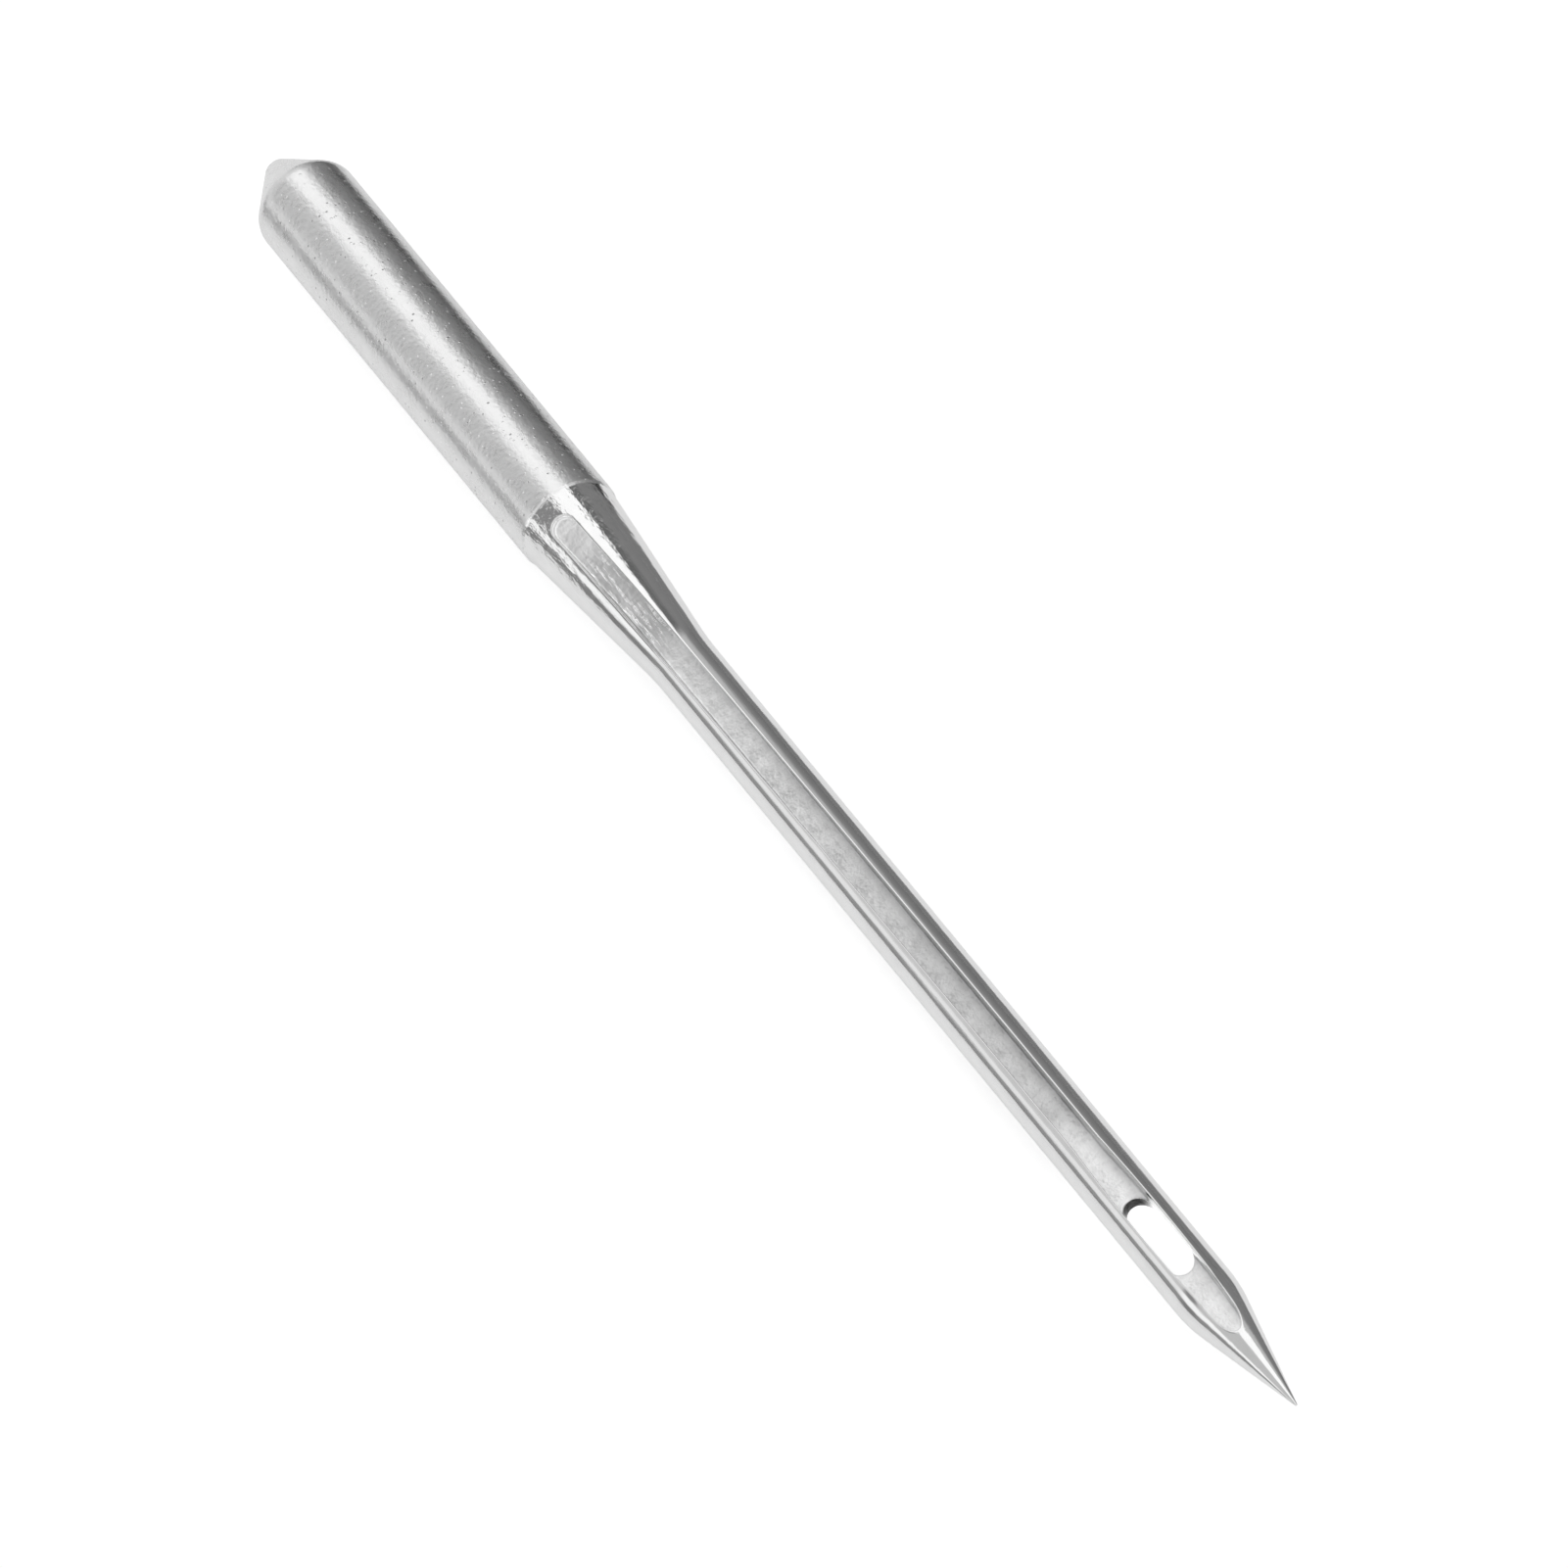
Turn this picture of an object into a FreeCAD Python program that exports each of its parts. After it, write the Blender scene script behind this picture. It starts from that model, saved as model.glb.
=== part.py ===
import FreeCAD, Part

import math
import os

# Sewing machine needle with a round shank, ground and grooved from one steel wire.
# Millimetres. The origin is the centre of the butt's end face. The needle lies along +X with
# its point at the far end, the long groove up on +Z and the scarf down on -Z. Both sides of
# the XZ plane are alike.

# Lengths along the needle, each from the end of the one before
SHANK_LENGTH = 11.3
SHOULDER_LENGTH = 4.2
BLADE_LENGTH = 16.95
EYE_LENGTH = 2.2
EYE_TO_TIP = 3.95

# Shank and its pointed butt
SHANK_DIAMETER = 2.0
BUTT_FACE_DIAMETER = 0.48
BUTT_CONE_LENGTH = 1.2
BUTT_EDGE_RADIUS = 0.6
SHANK_EDGE_STEP = 0.03
SHANK_EDGE_LENGTH = 0.05

# Blade and point
BLADE_DIAMETER = 1.24
SHOULDER_BLEND_RADIUS = 8.0
POINT_LENGTH = 3.1
POINT_BLEND_RADIUS = 4.0
TIP_DIAMETER = 0.06
TIP_LENGTH = 0.03

# Long groove, on the upper side, from the shoulder to past the eye
LONG_GROOVE_WIDTH = 0.52
LONG_GROOVE_DEPTH = 0.48
LONG_GROOVE_SETBACK = 0.45
LONG_GROOVE_START_DEPTH = 0.14
LONG_GROOVE_BEND_BEFORE_BLADE = 0.85
LONG_GROOVE_BEND_RADIUS = 5.0
LONG_GROOVE_RUN_PAST_EYE = 2.0

# Eye, a slot through the web between the two grooves, as wide as the long groove is there
EYE_WIDTH = 0.59
EYE_END_DIAMETER = 0.65

# Short groove, on the lower side, from the shoulder into the scarf
SHORT_GROOVE_WIDTH = 0.62
SHORT_GROOVE_DEPTH = 0.25
SHORT_GROOVE_START_DEPTH = 0.18
SHORT_GROOVE_BEND_BEFORE_BLADE = 0.7
SHORT_GROOVE_BEND_RADIUS = 6.0
SHORT_GROOVE_DIVE_START = 6.6
SHORT_GROOVE_DIVE_LENGTH = 2.25

# Scarf, the hollow above the eye that lets the hook pass, measured back from the eye
SCARF_DEPTH = 0.44
SCARF_START = 6.95
SCARF_ENTRY_LENGTH = 2.1
SCARF_ENTRY_RADIUS = 11.0
SCARF_EXIT_START = 2.15
SCARF_EXIT_LENGTH = 2.55
SCARF_EXIT_RADIUS = 8.0

# Eye groove, the end of the short groove that holds the thread below the scarf
EYE_GROOVE_DEPTH = 0.5
EYE_GROOVE_START = 0.95
EYE_GROOVE_RAMP_LENGTH = 0.85
EYE_GROOVE_RUN_PAST_EYE = 1.6

# How far the cutting shapes reach outside the metal
CUT_CLEARANCE = 1.0

# Places along X
SHANK_END = SHANK_LENGTH
SHOULDER_END = SHANK_END + SHOULDER_LENGTH
EYE_TOP = SHOULDER_END + BLADE_LENGTH
EYE_BOTTOM = EYE_TOP + EYE_LENGTH
TIP = EYE_BOTTOM + EYE_TO_TIP
POINT_START = TIP - POINT_LENGTH

SHANK_RADIUS = SHANK_DIAMETER / 2
BLADE_RADIUS = BLADE_DIAMETER / 2
SHOULDER_TOP_RADIUS = SHANK_RADIUS - SHANK_EDGE_STEP
CUT_REACH = SHANK_RADIUS + CUT_CLEARANCE


def direction(start, end):
    """Unit vector from one (x, y) point to another, and the distance between them."""
    dx = end[0] - start[0]
    dy = end[1] - start[1]
    distance = math.hypot(dx, dy)
    return dx / distance, dy / distance, distance


def rounded_corner(before, corner, after, radius):
    """Start, middle and end points of the arc that rounds one corner of an outline."""
    back_x, back_y, back_length = direction(corner, before)
    on_x, on_y, on_length = direction(corner, after)
    cosine = back_x * on_x + back_y * on_y
    half_angle = math.acos(max(-1.0, min(1.0, cosine))) / 2
    reach = min(radius / math.tan(half_angle), back_length / 2, on_length / 2)
    fitted_radius = reach * math.tan(half_angle)
    to_centre = fitted_radius / math.sin(half_angle)
    mid_x, mid_y, _ = direction((0, 0), (back_x + on_x, back_y + on_y))
    start = (corner[0] + back_x * reach, corner[1] + back_y * reach)
    end = (corner[0] + on_x * reach, corner[1] + on_y * reach)
    middle_distance = to_centre - fitted_radius
    middle = (corner[0] + mid_x * middle_distance, corner[1] + mid_y * middle_distance)
    return start, middle, end


def closed_outline(corners, place):
    """Closed wire through (x, y, rounding radius) corners. place turns (x, y) into a vector."""
    edges = []
    arcs = []
    count = len(corners)
    for index, (x, y, radius) in enumerate(corners):
        before = corners[index - 1][:2]
        after = corners[(index + 1) % count][:2]
        if radius > 0:
            arcs.append(rounded_corner(before, (x, y), after, radius))
        else:
            arcs.append(((x, y), None, (x, y)))
    for index, (start, middle, end) in enumerate(arcs):
        if middle is not None:
            edges.append(Part.Arc(place(*start), place(*middle), place(*end)).toShape())
        next_start = arcs[(index + 1) % count][0]
        edges.append(Part.LineSegment(place(*end), place(*next_start)).toShape())
    return Part.Wire(edges)


def side_view(x, z):
    """Point of an outline drawn in the XZ plane."""
    return FreeCAD.Vector(x, 0, z)


def shoulder_radius(x):
    """Radius of the tapered shoulder at a place along the needle."""
    share = (x - SHANK_END) / SHOULDER_LENGTH
    return SHOULDER_TOP_RADIUS + (BLADE_RADIUS - SHOULDER_TOP_RADIUS) * share


def turned_blank():
    """Whole needle as a turned shape: butt, shank, shoulder, blade and point."""
    profile = [
        (0, 0, 0),
        (0, BUTT_FACE_DIAMETER / 2, 0),
        (BUTT_CONE_LENGTH, SHANK_RADIUS, BUTT_EDGE_RADIUS),
        (SHANK_END - SHANK_EDGE_LENGTH, SHANK_RADIUS, 0),
        (SHANK_END, SHOULDER_TOP_RADIUS, 0),
        (SHOULDER_END, BLADE_RADIUS, SHOULDER_BLEND_RADIUS),
        (POINT_START, BLADE_RADIUS, POINT_BLEND_RADIUS),
        (TIP - TIP_LENGTH, TIP_DIAMETER / 2, 0),
        (TIP, TIP_DIAMETER / 4, 0),
        (TIP, 0, 0),
    ]
    face = Part.Face(closed_outline(profile, side_view))
    return face.revolve(FreeCAD.Vector(0, 0, 0), FreeCAD.Vector(1, 0, 0), 360)


def side_cutter(corners, width):
    """Cutting block of one width whose outline is drawn from the side."""
    face = Part.Face(closed_outline(corners, side_view))
    block = face.extrude(FreeCAD.Vector(0, width, 0))
    block.translate(FreeCAD.Vector(0, -width / 2, 0))
    return block


def plan(x, y, z):
    """Point of an outline drawn from above, at height z."""
    return FreeCAD.Vector(x, y, z)


def slot_plan(start, end, width):
    """Upright slot with round ends, as a milling cutter of that width leaves it."""
    half = width / 2
    left = start + half
    right = end - half
    bottom = -CUT_REACH
    edges = [
        Part.LineSegment(plan(left, -half, bottom), plan(right, -half, bottom)).toShape(),
        Part.Arc(plan(right, -half, bottom), plan(end, 0, bottom), plan(right, half, bottom)).toShape(),
        Part.LineSegment(plan(right, half, bottom), plan(left, half, bottom)).toShape(),
        Part.Arc(plan(left, half, bottom), plan(start, 0, bottom), plan(left, -half, bottom)).toShape(),
    ]
    return Part.Face(Part.Wire(edges)).extrude(FreeCAD.Vector(0, 0, 2 * CUT_REACH))


def swelled_slot_plan(start, end):
    """Upright slot as wide as the long groove, swelling to the eye's width beside the eye."""
    half = LONG_GROOVE_WIDTH / 2
    eye_half = EYE_WIDTH / 2
    left = start + half
    right = end - half
    eye_middle = (EYE_TOP + EYE_BOTTOM) / 2
    swell_start = 2 * eye_middle - right
    bottom = -CUT_REACH
    edges = []
    for side in (-1, 1):
        near = plan(left, side * half, bottom)
        swell_from = plan(swell_start, side * half, bottom)
        widest = plan(eye_middle, side * eye_half, bottom)
        swell_to = plan(right, side * half, bottom)
        edges.append(Part.LineSegment(near, swell_from).toShape())
        edges.append(Part.Arc(swell_from, widest, swell_to).toShape())
    for centre, extreme in ((left, start), (right, end)):
        near_corner = plan(centre, -half, bottom)
        far_corner = plan(centre, half, bottom)
        edges.append(Part.Arc(near_corner, plan(extreme, 0, bottom), far_corner).toShape())
    outline = Part.Wire(Part.__sortEdges__(edges))
    return Part.Face(outline).extrude(FreeCAD.Vector(0, 0, 2 * CUT_REACH))


def long_groove_and_eye():
    """Cutter for the long groove and, through its floor, the eye."""
    start = SHANK_END + LONG_GROOVE_SETBACK
    end = EYE_BOTTOM + LONG_GROOVE_RUN_PAST_EYE
    floor = BLADE_RADIUS - LONG_GROOVE_DEPTH
    start_floor = shoulder_radius(start) - LONG_GROOVE_START_DEPTH
    profile = [
        (start, start_floor, 0),
        (SHOULDER_END - LONG_GROOVE_BEND_BEFORE_BLADE, floor, LONG_GROOVE_BEND_RADIUS),
        (end, floor, 0),
        (end, CUT_REACH, 0),
        (start, CUT_REACH, 0),
    ]
    groove = side_cutter(profile, SHANK_DIAMETER)
    eye = slot_plan(EYE_TOP, EYE_BOTTOM, EYE_END_DIAMETER)
    return groove.fuse(eye).common(swelled_slot_plan(start, end))


def scarf_floor():
    """Height of the scarf's flat floor."""
    return SCARF_DEPTH - BLADE_RADIUS


def short_groove():
    """Cutter for the short groove, which dives into the scarf at its lower end."""
    start = SHANK_END
    dive_start = EYE_TOP - SHORT_GROOVE_DIVE_START
    dive_end = dive_start + SHORT_GROOVE_DIVE_LENGTH
    floor = SHORT_GROOVE_DEPTH - BLADE_RADIUS
    start_floor = SHORT_GROOVE_START_DEPTH - shoulder_radius(start)
    profile = [
        (start, start_floor, 0),
        (SHOULDER_END - SHORT_GROOVE_BEND_BEFORE_BLADE, floor, SHORT_GROOVE_BEND_RADIUS),
        (dive_start, floor, 0),
        (dive_end, scarf_floor(), 0),
        (dive_end, -CUT_REACH, 0),
        (start, -CUT_REACH, 0),
    ]
    slot = slot_plan(start, dive_end + SHORT_GROOVE_WIDTH, SHORT_GROOVE_WIDTH)
    return side_cutter(profile, SHANK_DIAMETER).common(slot)


def scarf():
    """Cutter for the scarf: a gentle way in, a flat floor and a rise towards the eye."""
    start = EYE_TOP - SCARF_START
    exit_start = EYE_TOP - SCARF_EXIT_START
    profile = [
        (start, -BLADE_RADIUS, 0),
        (start + SCARF_ENTRY_LENGTH, scarf_floor(), SCARF_ENTRY_RADIUS),
        (exit_start, scarf_floor(), SCARF_EXIT_RADIUS),
        (exit_start + SCARF_EXIT_LENGTH, -BLADE_RADIUS, 0),
        (exit_start + SCARF_EXIT_LENGTH, -CUT_REACH, 0),
        (start, -CUT_REACH, 0),
    ]
    return side_cutter(profile, SHANK_DIAMETER)


def eye_groove():
    """Cutter for the end of the short groove, from the scarf's rise to past the eye."""
    start = EYE_TOP - EYE_GROOVE_START
    end = EYE_BOTTOM + EYE_GROOVE_RUN_PAST_EYE
    floor = EYE_GROOVE_DEPTH - BLADE_RADIUS
    share_risen = (SCARF_EXIT_START - EYE_GROOVE_START) / SCARF_EXIT_LENGTH
    start_height = scarf_floor() - share_risen * SCARF_DEPTH
    profile = [
        (start, start_height, 0),
        (start + EYE_GROOVE_RAMP_LENGTH, floor, 0),
        (end, floor, 0),
        (end, -CUT_REACH, 0),
        (start, -CUT_REACH, 0),
    ]
    slot = slot_plan(start - SHORT_GROOVE_WIDTH, end, SHORT_GROOVE_WIDTH)
    return side_cutter(profile, SHANK_DIAMETER).common(slot)


def needle():
    """Finished needle, one solid."""
    cutters = [long_groove_and_eye(), short_groove(), scarf(), eye_groove()]
    return turned_blank().cut(cutters).removeSplitter()


def single_solid(shape):
    """The one solid inside a shape that a cut has wrapped in a compound."""
    if len(shape.Solids) != 1:
        raise ValueError("the needle came out as %d solids" % len(shape.Solids))
    return shape.Solids[0]


def main():
    """Builds the needle and writes its file."""
    os.makedirs("parts", exist_ok=True)
    solid = single_solid(needle())
    solid.exportStep("parts/needle.step")
    print("needle: %.2f mm3, %d faces, valid %s" % (solid.Volume, len(solid.Faces), solid.isValid()))
    print("centre of mass %s" % solid.CenterOfMass)


main()
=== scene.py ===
"""Sewing machine needle with a round shank, set up for its picture.

The needle is one piece of steel, so it is one mesh. It starts as a turned blank, spun round
the X axis from its outline. The grooves and the scarf are then pressed into the blank, and the
eye is opened between the two groove floors.

The needle's sizes are in millimetres from the butt, and the finished mesh is in metres. The
needle lies along +X, with the long groove up on +Z and the scarf down on -Z.
"""

import logging
import math
from dataclasses import dataclass, field
from enum import Enum

import bmesh
import bpy
from mathutils import Matrix, Vector


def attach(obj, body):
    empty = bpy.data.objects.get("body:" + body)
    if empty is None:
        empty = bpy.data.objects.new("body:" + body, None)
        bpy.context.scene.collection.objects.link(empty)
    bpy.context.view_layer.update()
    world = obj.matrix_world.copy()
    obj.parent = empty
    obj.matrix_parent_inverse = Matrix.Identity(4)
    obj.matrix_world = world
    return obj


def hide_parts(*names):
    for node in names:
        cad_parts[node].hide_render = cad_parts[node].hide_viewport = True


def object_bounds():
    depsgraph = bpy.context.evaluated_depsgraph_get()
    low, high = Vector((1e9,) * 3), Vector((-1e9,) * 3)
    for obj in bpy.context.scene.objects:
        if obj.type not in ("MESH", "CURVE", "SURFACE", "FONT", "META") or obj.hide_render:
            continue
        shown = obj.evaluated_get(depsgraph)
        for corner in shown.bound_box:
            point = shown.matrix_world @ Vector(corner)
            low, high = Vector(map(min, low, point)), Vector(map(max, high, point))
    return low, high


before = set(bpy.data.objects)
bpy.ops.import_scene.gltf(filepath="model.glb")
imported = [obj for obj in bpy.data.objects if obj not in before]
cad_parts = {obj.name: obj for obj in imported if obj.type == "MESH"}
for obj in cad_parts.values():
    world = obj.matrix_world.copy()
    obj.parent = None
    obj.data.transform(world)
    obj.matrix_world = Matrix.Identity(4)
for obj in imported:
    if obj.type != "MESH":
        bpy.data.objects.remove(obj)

LOG = logging.getLogger("needle")
CAD_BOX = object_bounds()
METRES_PER_MM = 0.001
MERGE_DISTANCE = 1.0e-7
ROUND_OFF = 1.0e-6

Points = list[tuple[float, float]]
Runs = tuple[tuple[float, float, int], ...]
Levels = tuple[tuple[float, float], ...]
Socket = bpy.types.NodeSocket


def quarter_round(*degrees: float) -> Points:
    """(across, down) of points on a quarter round, as shares of its radius."""
    angles = [math.radians(angle) for angle in degrees]
    return [(1.0 - math.cos(angle), 1.0 - math.sin(angle)) for angle in angles]


# Columns of one half of a cross-section, from the top centre line to the bottom one
CAP_COLUMNS = 5
EYE_EDGE = quarter_round(0.0, 30.0, 60.0, 90.0)
REMAINDER_COLUMNS = 3
WALL_FOOT = quarter_round(0.0, 30.0, 60.0, 90.0)
LIP = quarter_round(0.0, 22.5, 45.0, 67.5, 90.0)
SHELF_COLUMNS = 4
SCARF_EDGE_SHARES = (0.0, 0.25, 0.5, 0.75, 1.0)
FLANK_COLUMNS = 40
FLANK_CROWDING = 0.6
FLOOR_COLUMNS = CAP_COLUMNS + len(EYE_EDGE) + REMAINDER_COLUMNS
GROOVE_COLUMNS = FLOOR_COLUMNS + len(WALL_FOOT) + 1 + len(LIP)
UNDER_COLUMNS = GROOVE_COLUMNS + SHELF_COLUMNS + len(SCARF_EDGE_SHARES)
HALF_COLUMNS = GROOVE_COLUMNS + FLANK_COLUMNS + UNDER_COLUMNS
RING_COLUMNS = 2 * (HALF_COLUMNS - 1)
FIRST_LIP_COLUMN = GROOVE_COLUMNS - len(LIP)

# Where the groove columns lie on plain round metal, as angles from the centre line
PLAIN_TOP_SPAN = math.radians(26.0)
PLAIN_UNDER_SPAN = math.radians(30.0)

# Runs of rings along the needle, as (first, last, number), in millimetres from the butt
BLANK_RUNS = (
    (0.05, 0.95, 9),
    (0.98, 1.5, 14),
    (1.55, 11.1, 24),
    (11.12, 11.4, 16),
    (11.45, 15.1, 36),
    (15.15, 15.9, 16),
    (16.0, 25.4, 30),
    (35.1, 35.95, 14),
)
POINT_RUN_START = 36.0
POINT_RUN_RINGS = 34
SCARF_AND_EYE_RUNS = (
    (25.5, 25.9, 6),
    (25.93, 26.3, 16),
    (26.35, 28.3, 28),
    (28.4, 30.2, 12),
    (30.25, 31.4, 18),
    (31.42, 31.62, 12),
    (31.66, 32.4, 16),
    (32.75, 34.35, 12),
    (34.7, 35.1, 6),
)
LEAST_RING_GAP = 0.0009
LEAST_GAP_TO_TIP = 0.001
EYE_RING_TOLERANCE = 0.0005

# Rings at a slot's ends: on the round end, across its lip on both sides, and beyond it
ROUND_END_ANGLES = (9, 14, 20, 27, 35, 44, 54, 65, 77, 90)
LIP_INSIDE_SHARES = (0.04, 0.14, 0.5, 1.0)
LIP_OUTSIDE_SHARES = (0.0, 0.08, 0.3, 0.62, 1.0)
SPREAD_SHARES = (0.08, 0.2, 0.36, 0.56, 0.78, 1.0)

# Rings that close the needle: (length, radius) as shares of the edge or the tip they round
BUTT_FACE_SHARES = (0.0, 0.3, 0.6)
BUTT_EDGE_SHARES = ((0.0, -1.0), (0.15, -0.45), (0.5, 0.08))
TIP_SHARES = ((1.0, 1.0), (0.4, 0.82), (0.1, 0.5), (0.0, 0.2), (0.0, 0.0))

# The most of a wall that its lip or its foot takes up, and the narrowest shelf of the scarf
MOST_OF_WALL = 0.45
LEAST_SHELF = 0.002

# Middle of a noise, and the share from which a point counts as the eye's wall
NOISE_MIDDLE = 0.5
EYE_WALL_FROM = 0.5

WHITE = (1.0, 1.0, 1.0, 1.0)
FULL_TURN = 2.0 * math.pi
FULL_CIRCLE = 360.0


def smooth_step(value: float) -> float:
    """Eased share between 0 and 1."""
    share = max(0.0, min(1.0, value))
    return share * share * (3.0 - 2.0 * share)


def quarter_drop(share: float) -> float:
    """Drop of a quarter round at a share of its radius from its edge, in radii."""
    near = 1.0 - max(0.0, min(1.0, share))
    return 1.0 - math.sqrt(1.0 - near * near)


def put_in_scene(name: str, data: bpy.types.ID) -> bpy.types.Object:
    """Makes an object and links it into the scene.

    Args:
        name: Name of the object.
        data: Its mesh, lamp or camera.

    Returns:
        The object.
    """
    thing = bpy.data.objects.new(name, data)
    bpy.context.scene.collection.objects.link(thing)
    return thing


class Side(Enum):
    """Which side of the needle a groove is on."""

    TOP = 1
    UNDER = -1


@dataclass(frozen=True)
class Corner:
    """A corner of an outline and the radius that rounds it."""

    x: float
    height: float
    radius: float = 0.0


@dataclass(frozen=True)
class CornerArc:
    """The arc in one corner of an outline."""

    start: float
    end: float
    centre_x: float
    centre_height: float
    radius: float
    side: float

    def height(self, x: float) -> float:
        """Height of the arc at a place along the needle."""
        reach = max(0.0, self.radius ** 2 - (x - self.centre_x) ** 2)
        return self.centre_height + self.side * math.sqrt(reach)


class Outline:
    """A line through rounded corners, read as a height along the needle."""

    def __init__(self, corners: list[Corner]) -> None:
        """Works out the arcs.

        Args:
            corners: The corners, in order along the needle.
        """
        self.corners = corners
        self.arcs = []
        for before, corner, after in zip(corners, corners[1:], corners[2:]):
            if corner.radius > 0.0:
                self.arcs.append(self.corner_arc(before, corner, after))

    @staticmethod
    def corner_arc(before: Corner, corner: Corner, after: Corner) -> CornerArc:
        """Fits the arc of one corner.

        Args:
            before: The corner before it.
            corner: The corner to round.
            after: The corner after it.

        Returns:
            The arc, which takes up no more than half of either side.
        """
        come = Vector((corner.x - before.x, corner.height - before.height))
        leave = Vector((after.x - corner.x, after.height - corner.height))
        turn = math.atan2(leave.y, leave.x) - math.atan2(come.y, come.x)
        half_turn = math.tan(abs(turn) / 2.0)
        reach = min(corner.radius * half_turn, come.length / 2.0, leave.length / 2.0)
        radius = reach / half_turn
        come.normalize()
        leave.normalize()
        start_x = corner.x - come.x * reach
        start_height = corner.height - come.y * reach
        below = 1.0 if turn < 0.0 else -1.0
        return CornerArc(
            start=start_x,
            end=corner.x + leave.x * reach,
            centre_x=start_x + below * come.y * radius,
            centre_height=start_height - below * come.x * radius,
            radius=radius,
            side=below,
        )

    def height(self, x: float) -> float:
        """Height at a place along the needle.

        Args:
            x: Millimetres from the butt.

        Returns:
            The height in millimetres, held level beyond the first and last corners.
        """
        for arc in self.arcs:
            if arc.start < x < arc.end:
                return arc.height(x)
        if x <= self.corners[0].x:
            return self.corners[0].height
        for first, second in zip(self.corners, self.corners[1:]):
            if x <= second.x and second.x > first.x:
                share = (x - first.x) / (second.x - first.x)
                return first.height + (second.height - first.height) * share
        return self.corners[-1].height


@dataclass(frozen=True)
class Places:
    """Lengths along the needle and its diameters, as in the part's source."""

    shank_length: float = 11.3
    shoulder_length: float = 4.2
    blade_length: float = 16.95
    eye_length: float = 2.2
    eye_to_tip: float = 3.95
    shank_diameter: float = 2.0
    shank_edge_step: float = 0.03
    blade_diameter: float = 1.24

    @property
    def shank_radius(self) -> float:
        """Radius of the shank."""
        return self.shank_diameter / 2.0

    @property
    def blade_radius(self) -> float:
        """Radius of the blade."""
        return self.blade_diameter / 2.0

    @property
    def shoulder_end(self) -> float:
        """Where the shoulder meets the blade."""
        return self.shank_length + self.shoulder_length

    @property
    def eye_top(self) -> float:
        """End of the eye nearer the shank."""
        return self.shoulder_end + self.blade_length

    @property
    def eye_bottom(self) -> float:
        """End of the eye nearer the point."""
        return self.eye_top + self.eye_length

    @property
    def tip(self) -> float:
        """End of the needle."""
        return self.eye_bottom + self.eye_to_tip

    def shoulder_radius(self, x: float) -> float:
        """Radius of the tapered shoulder at a place along it.

        Args:
            x: Millimetres from the butt.

        Returns:
            The radius in millimetres.
        """
        top = self.shank_radius - self.shank_edge_step
        share = (x - self.shank_length) / self.shoulder_length
        return top + (self.blade_radius - top) * share


@dataclass(frozen=True)
class Slot:
    """Plan of a groove or of the eye: straight sides, round ends and an optional swell."""

    start: float
    end: float
    width: float
    edge_radius: float
    start_length: float = 0.0
    end_length: float = 0.0
    spread_length: float = 0.35
    swell_width: float = 0.0
    swell_middle: float = 0.0

    @property
    def left(self) -> float:
        """Centre of the round start."""
        return self.start + self.drawn_in

    @property
    def right(self) -> float:
        """Centre of the round end."""
        return self.end - self.drawn_out

    @property
    def drawn_in(self) -> float:
        """Length of the round start, which is half the width unless it is drawn out."""
        return self.start_length or self.width / 2.0

    @property
    def drawn_out(self) -> float:
        """Length of the round end, which is half the width unless it is drawn out."""
        return self.end_length or self.width / 2.0

    def half_width(self, x: float) -> float:
        """Half of the width at a place along the needle, without the round ends.

        Args:
            x: Millimetres from the butt.

        Returns:
            Half of the width in millimetres, with the swell.
        """
        half = self.width / 2.0
        if self.swell_width <= 0.0:
            return half
        share = (x - self.swell_middle) / (self.right - self.swell_middle)
        return half + (self.swell_width / 2.0 - half) * max(0.0, 1.0 - share * share)

    def overshoot(self, x: float) -> float:
        """How far a place lies beyond the centre of the nearer round end.

        Args:
            x: Millimetres from the butt.

        Returns:
            The distance, scaled so that a drawn-out end counts as a round one.
        """
        before = (self.left - x) * (self.width / 2.0) / self.drawn_in
        beyond = (x - self.right) * (self.width / 2.0) / self.drawn_out
        return max(before, beyond, 0.0)

    def reach(self, x: float, offset: float = 0.0) -> float:
        """Half-width of a line that follows the slot's edge.

        Args:
            x: Millimetres from the butt.
            offset: How far outside the edge the line runs, or inside if negative.

        Returns:
            The line's distance from the centre line, or 0 beyond its end.
        """
        half = self.half_width(x) + offset
        over = self.overshoot(x)
        if half <= over + ROUND_OFF:
            return 0.0
        return math.sqrt(half * half - over * over)

    def distance(self, x: float, y: float) -> float:
        """Distance of a point outside the slot's edge, negative inside it."""
        return math.hypot(self.overshoot(x), y) - self.half_width(x)

    def spread(self, x: float) -> float:
        """How far the columns have spread out again beyond the slot's ends, from 0 to 1."""
        gap = max(self.start - x, x - self.end) - self.edge_radius
        return smooth_step(gap / self.spread_length)

    def stations(self) -> list[float]:
        """Places along the needle at which the slot's ends need a ring.

        Returns:
            The places in millimetres from the butt, in no order.
        """
        lip = self.edge_radius
        places = []
        ends = ((self.start, 1.0, self.drawn_in), (self.end, -1.0, self.drawn_out))
        for end, inward, length in ends:
            into = [length * (1.0 - math.cos(math.radians(angle))) for angle in ROUND_END_ANGLES]
            into += [lip * share for share in LIP_INSIDE_SHARES]
            into += [-lip * share for share in LIP_OUTSIDE_SHARES]
            into += [-(lip + self.spread_length * share) for share in SPREAD_SHARES]
            places += [end + inward * distance for distance in into]
        return places


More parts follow.
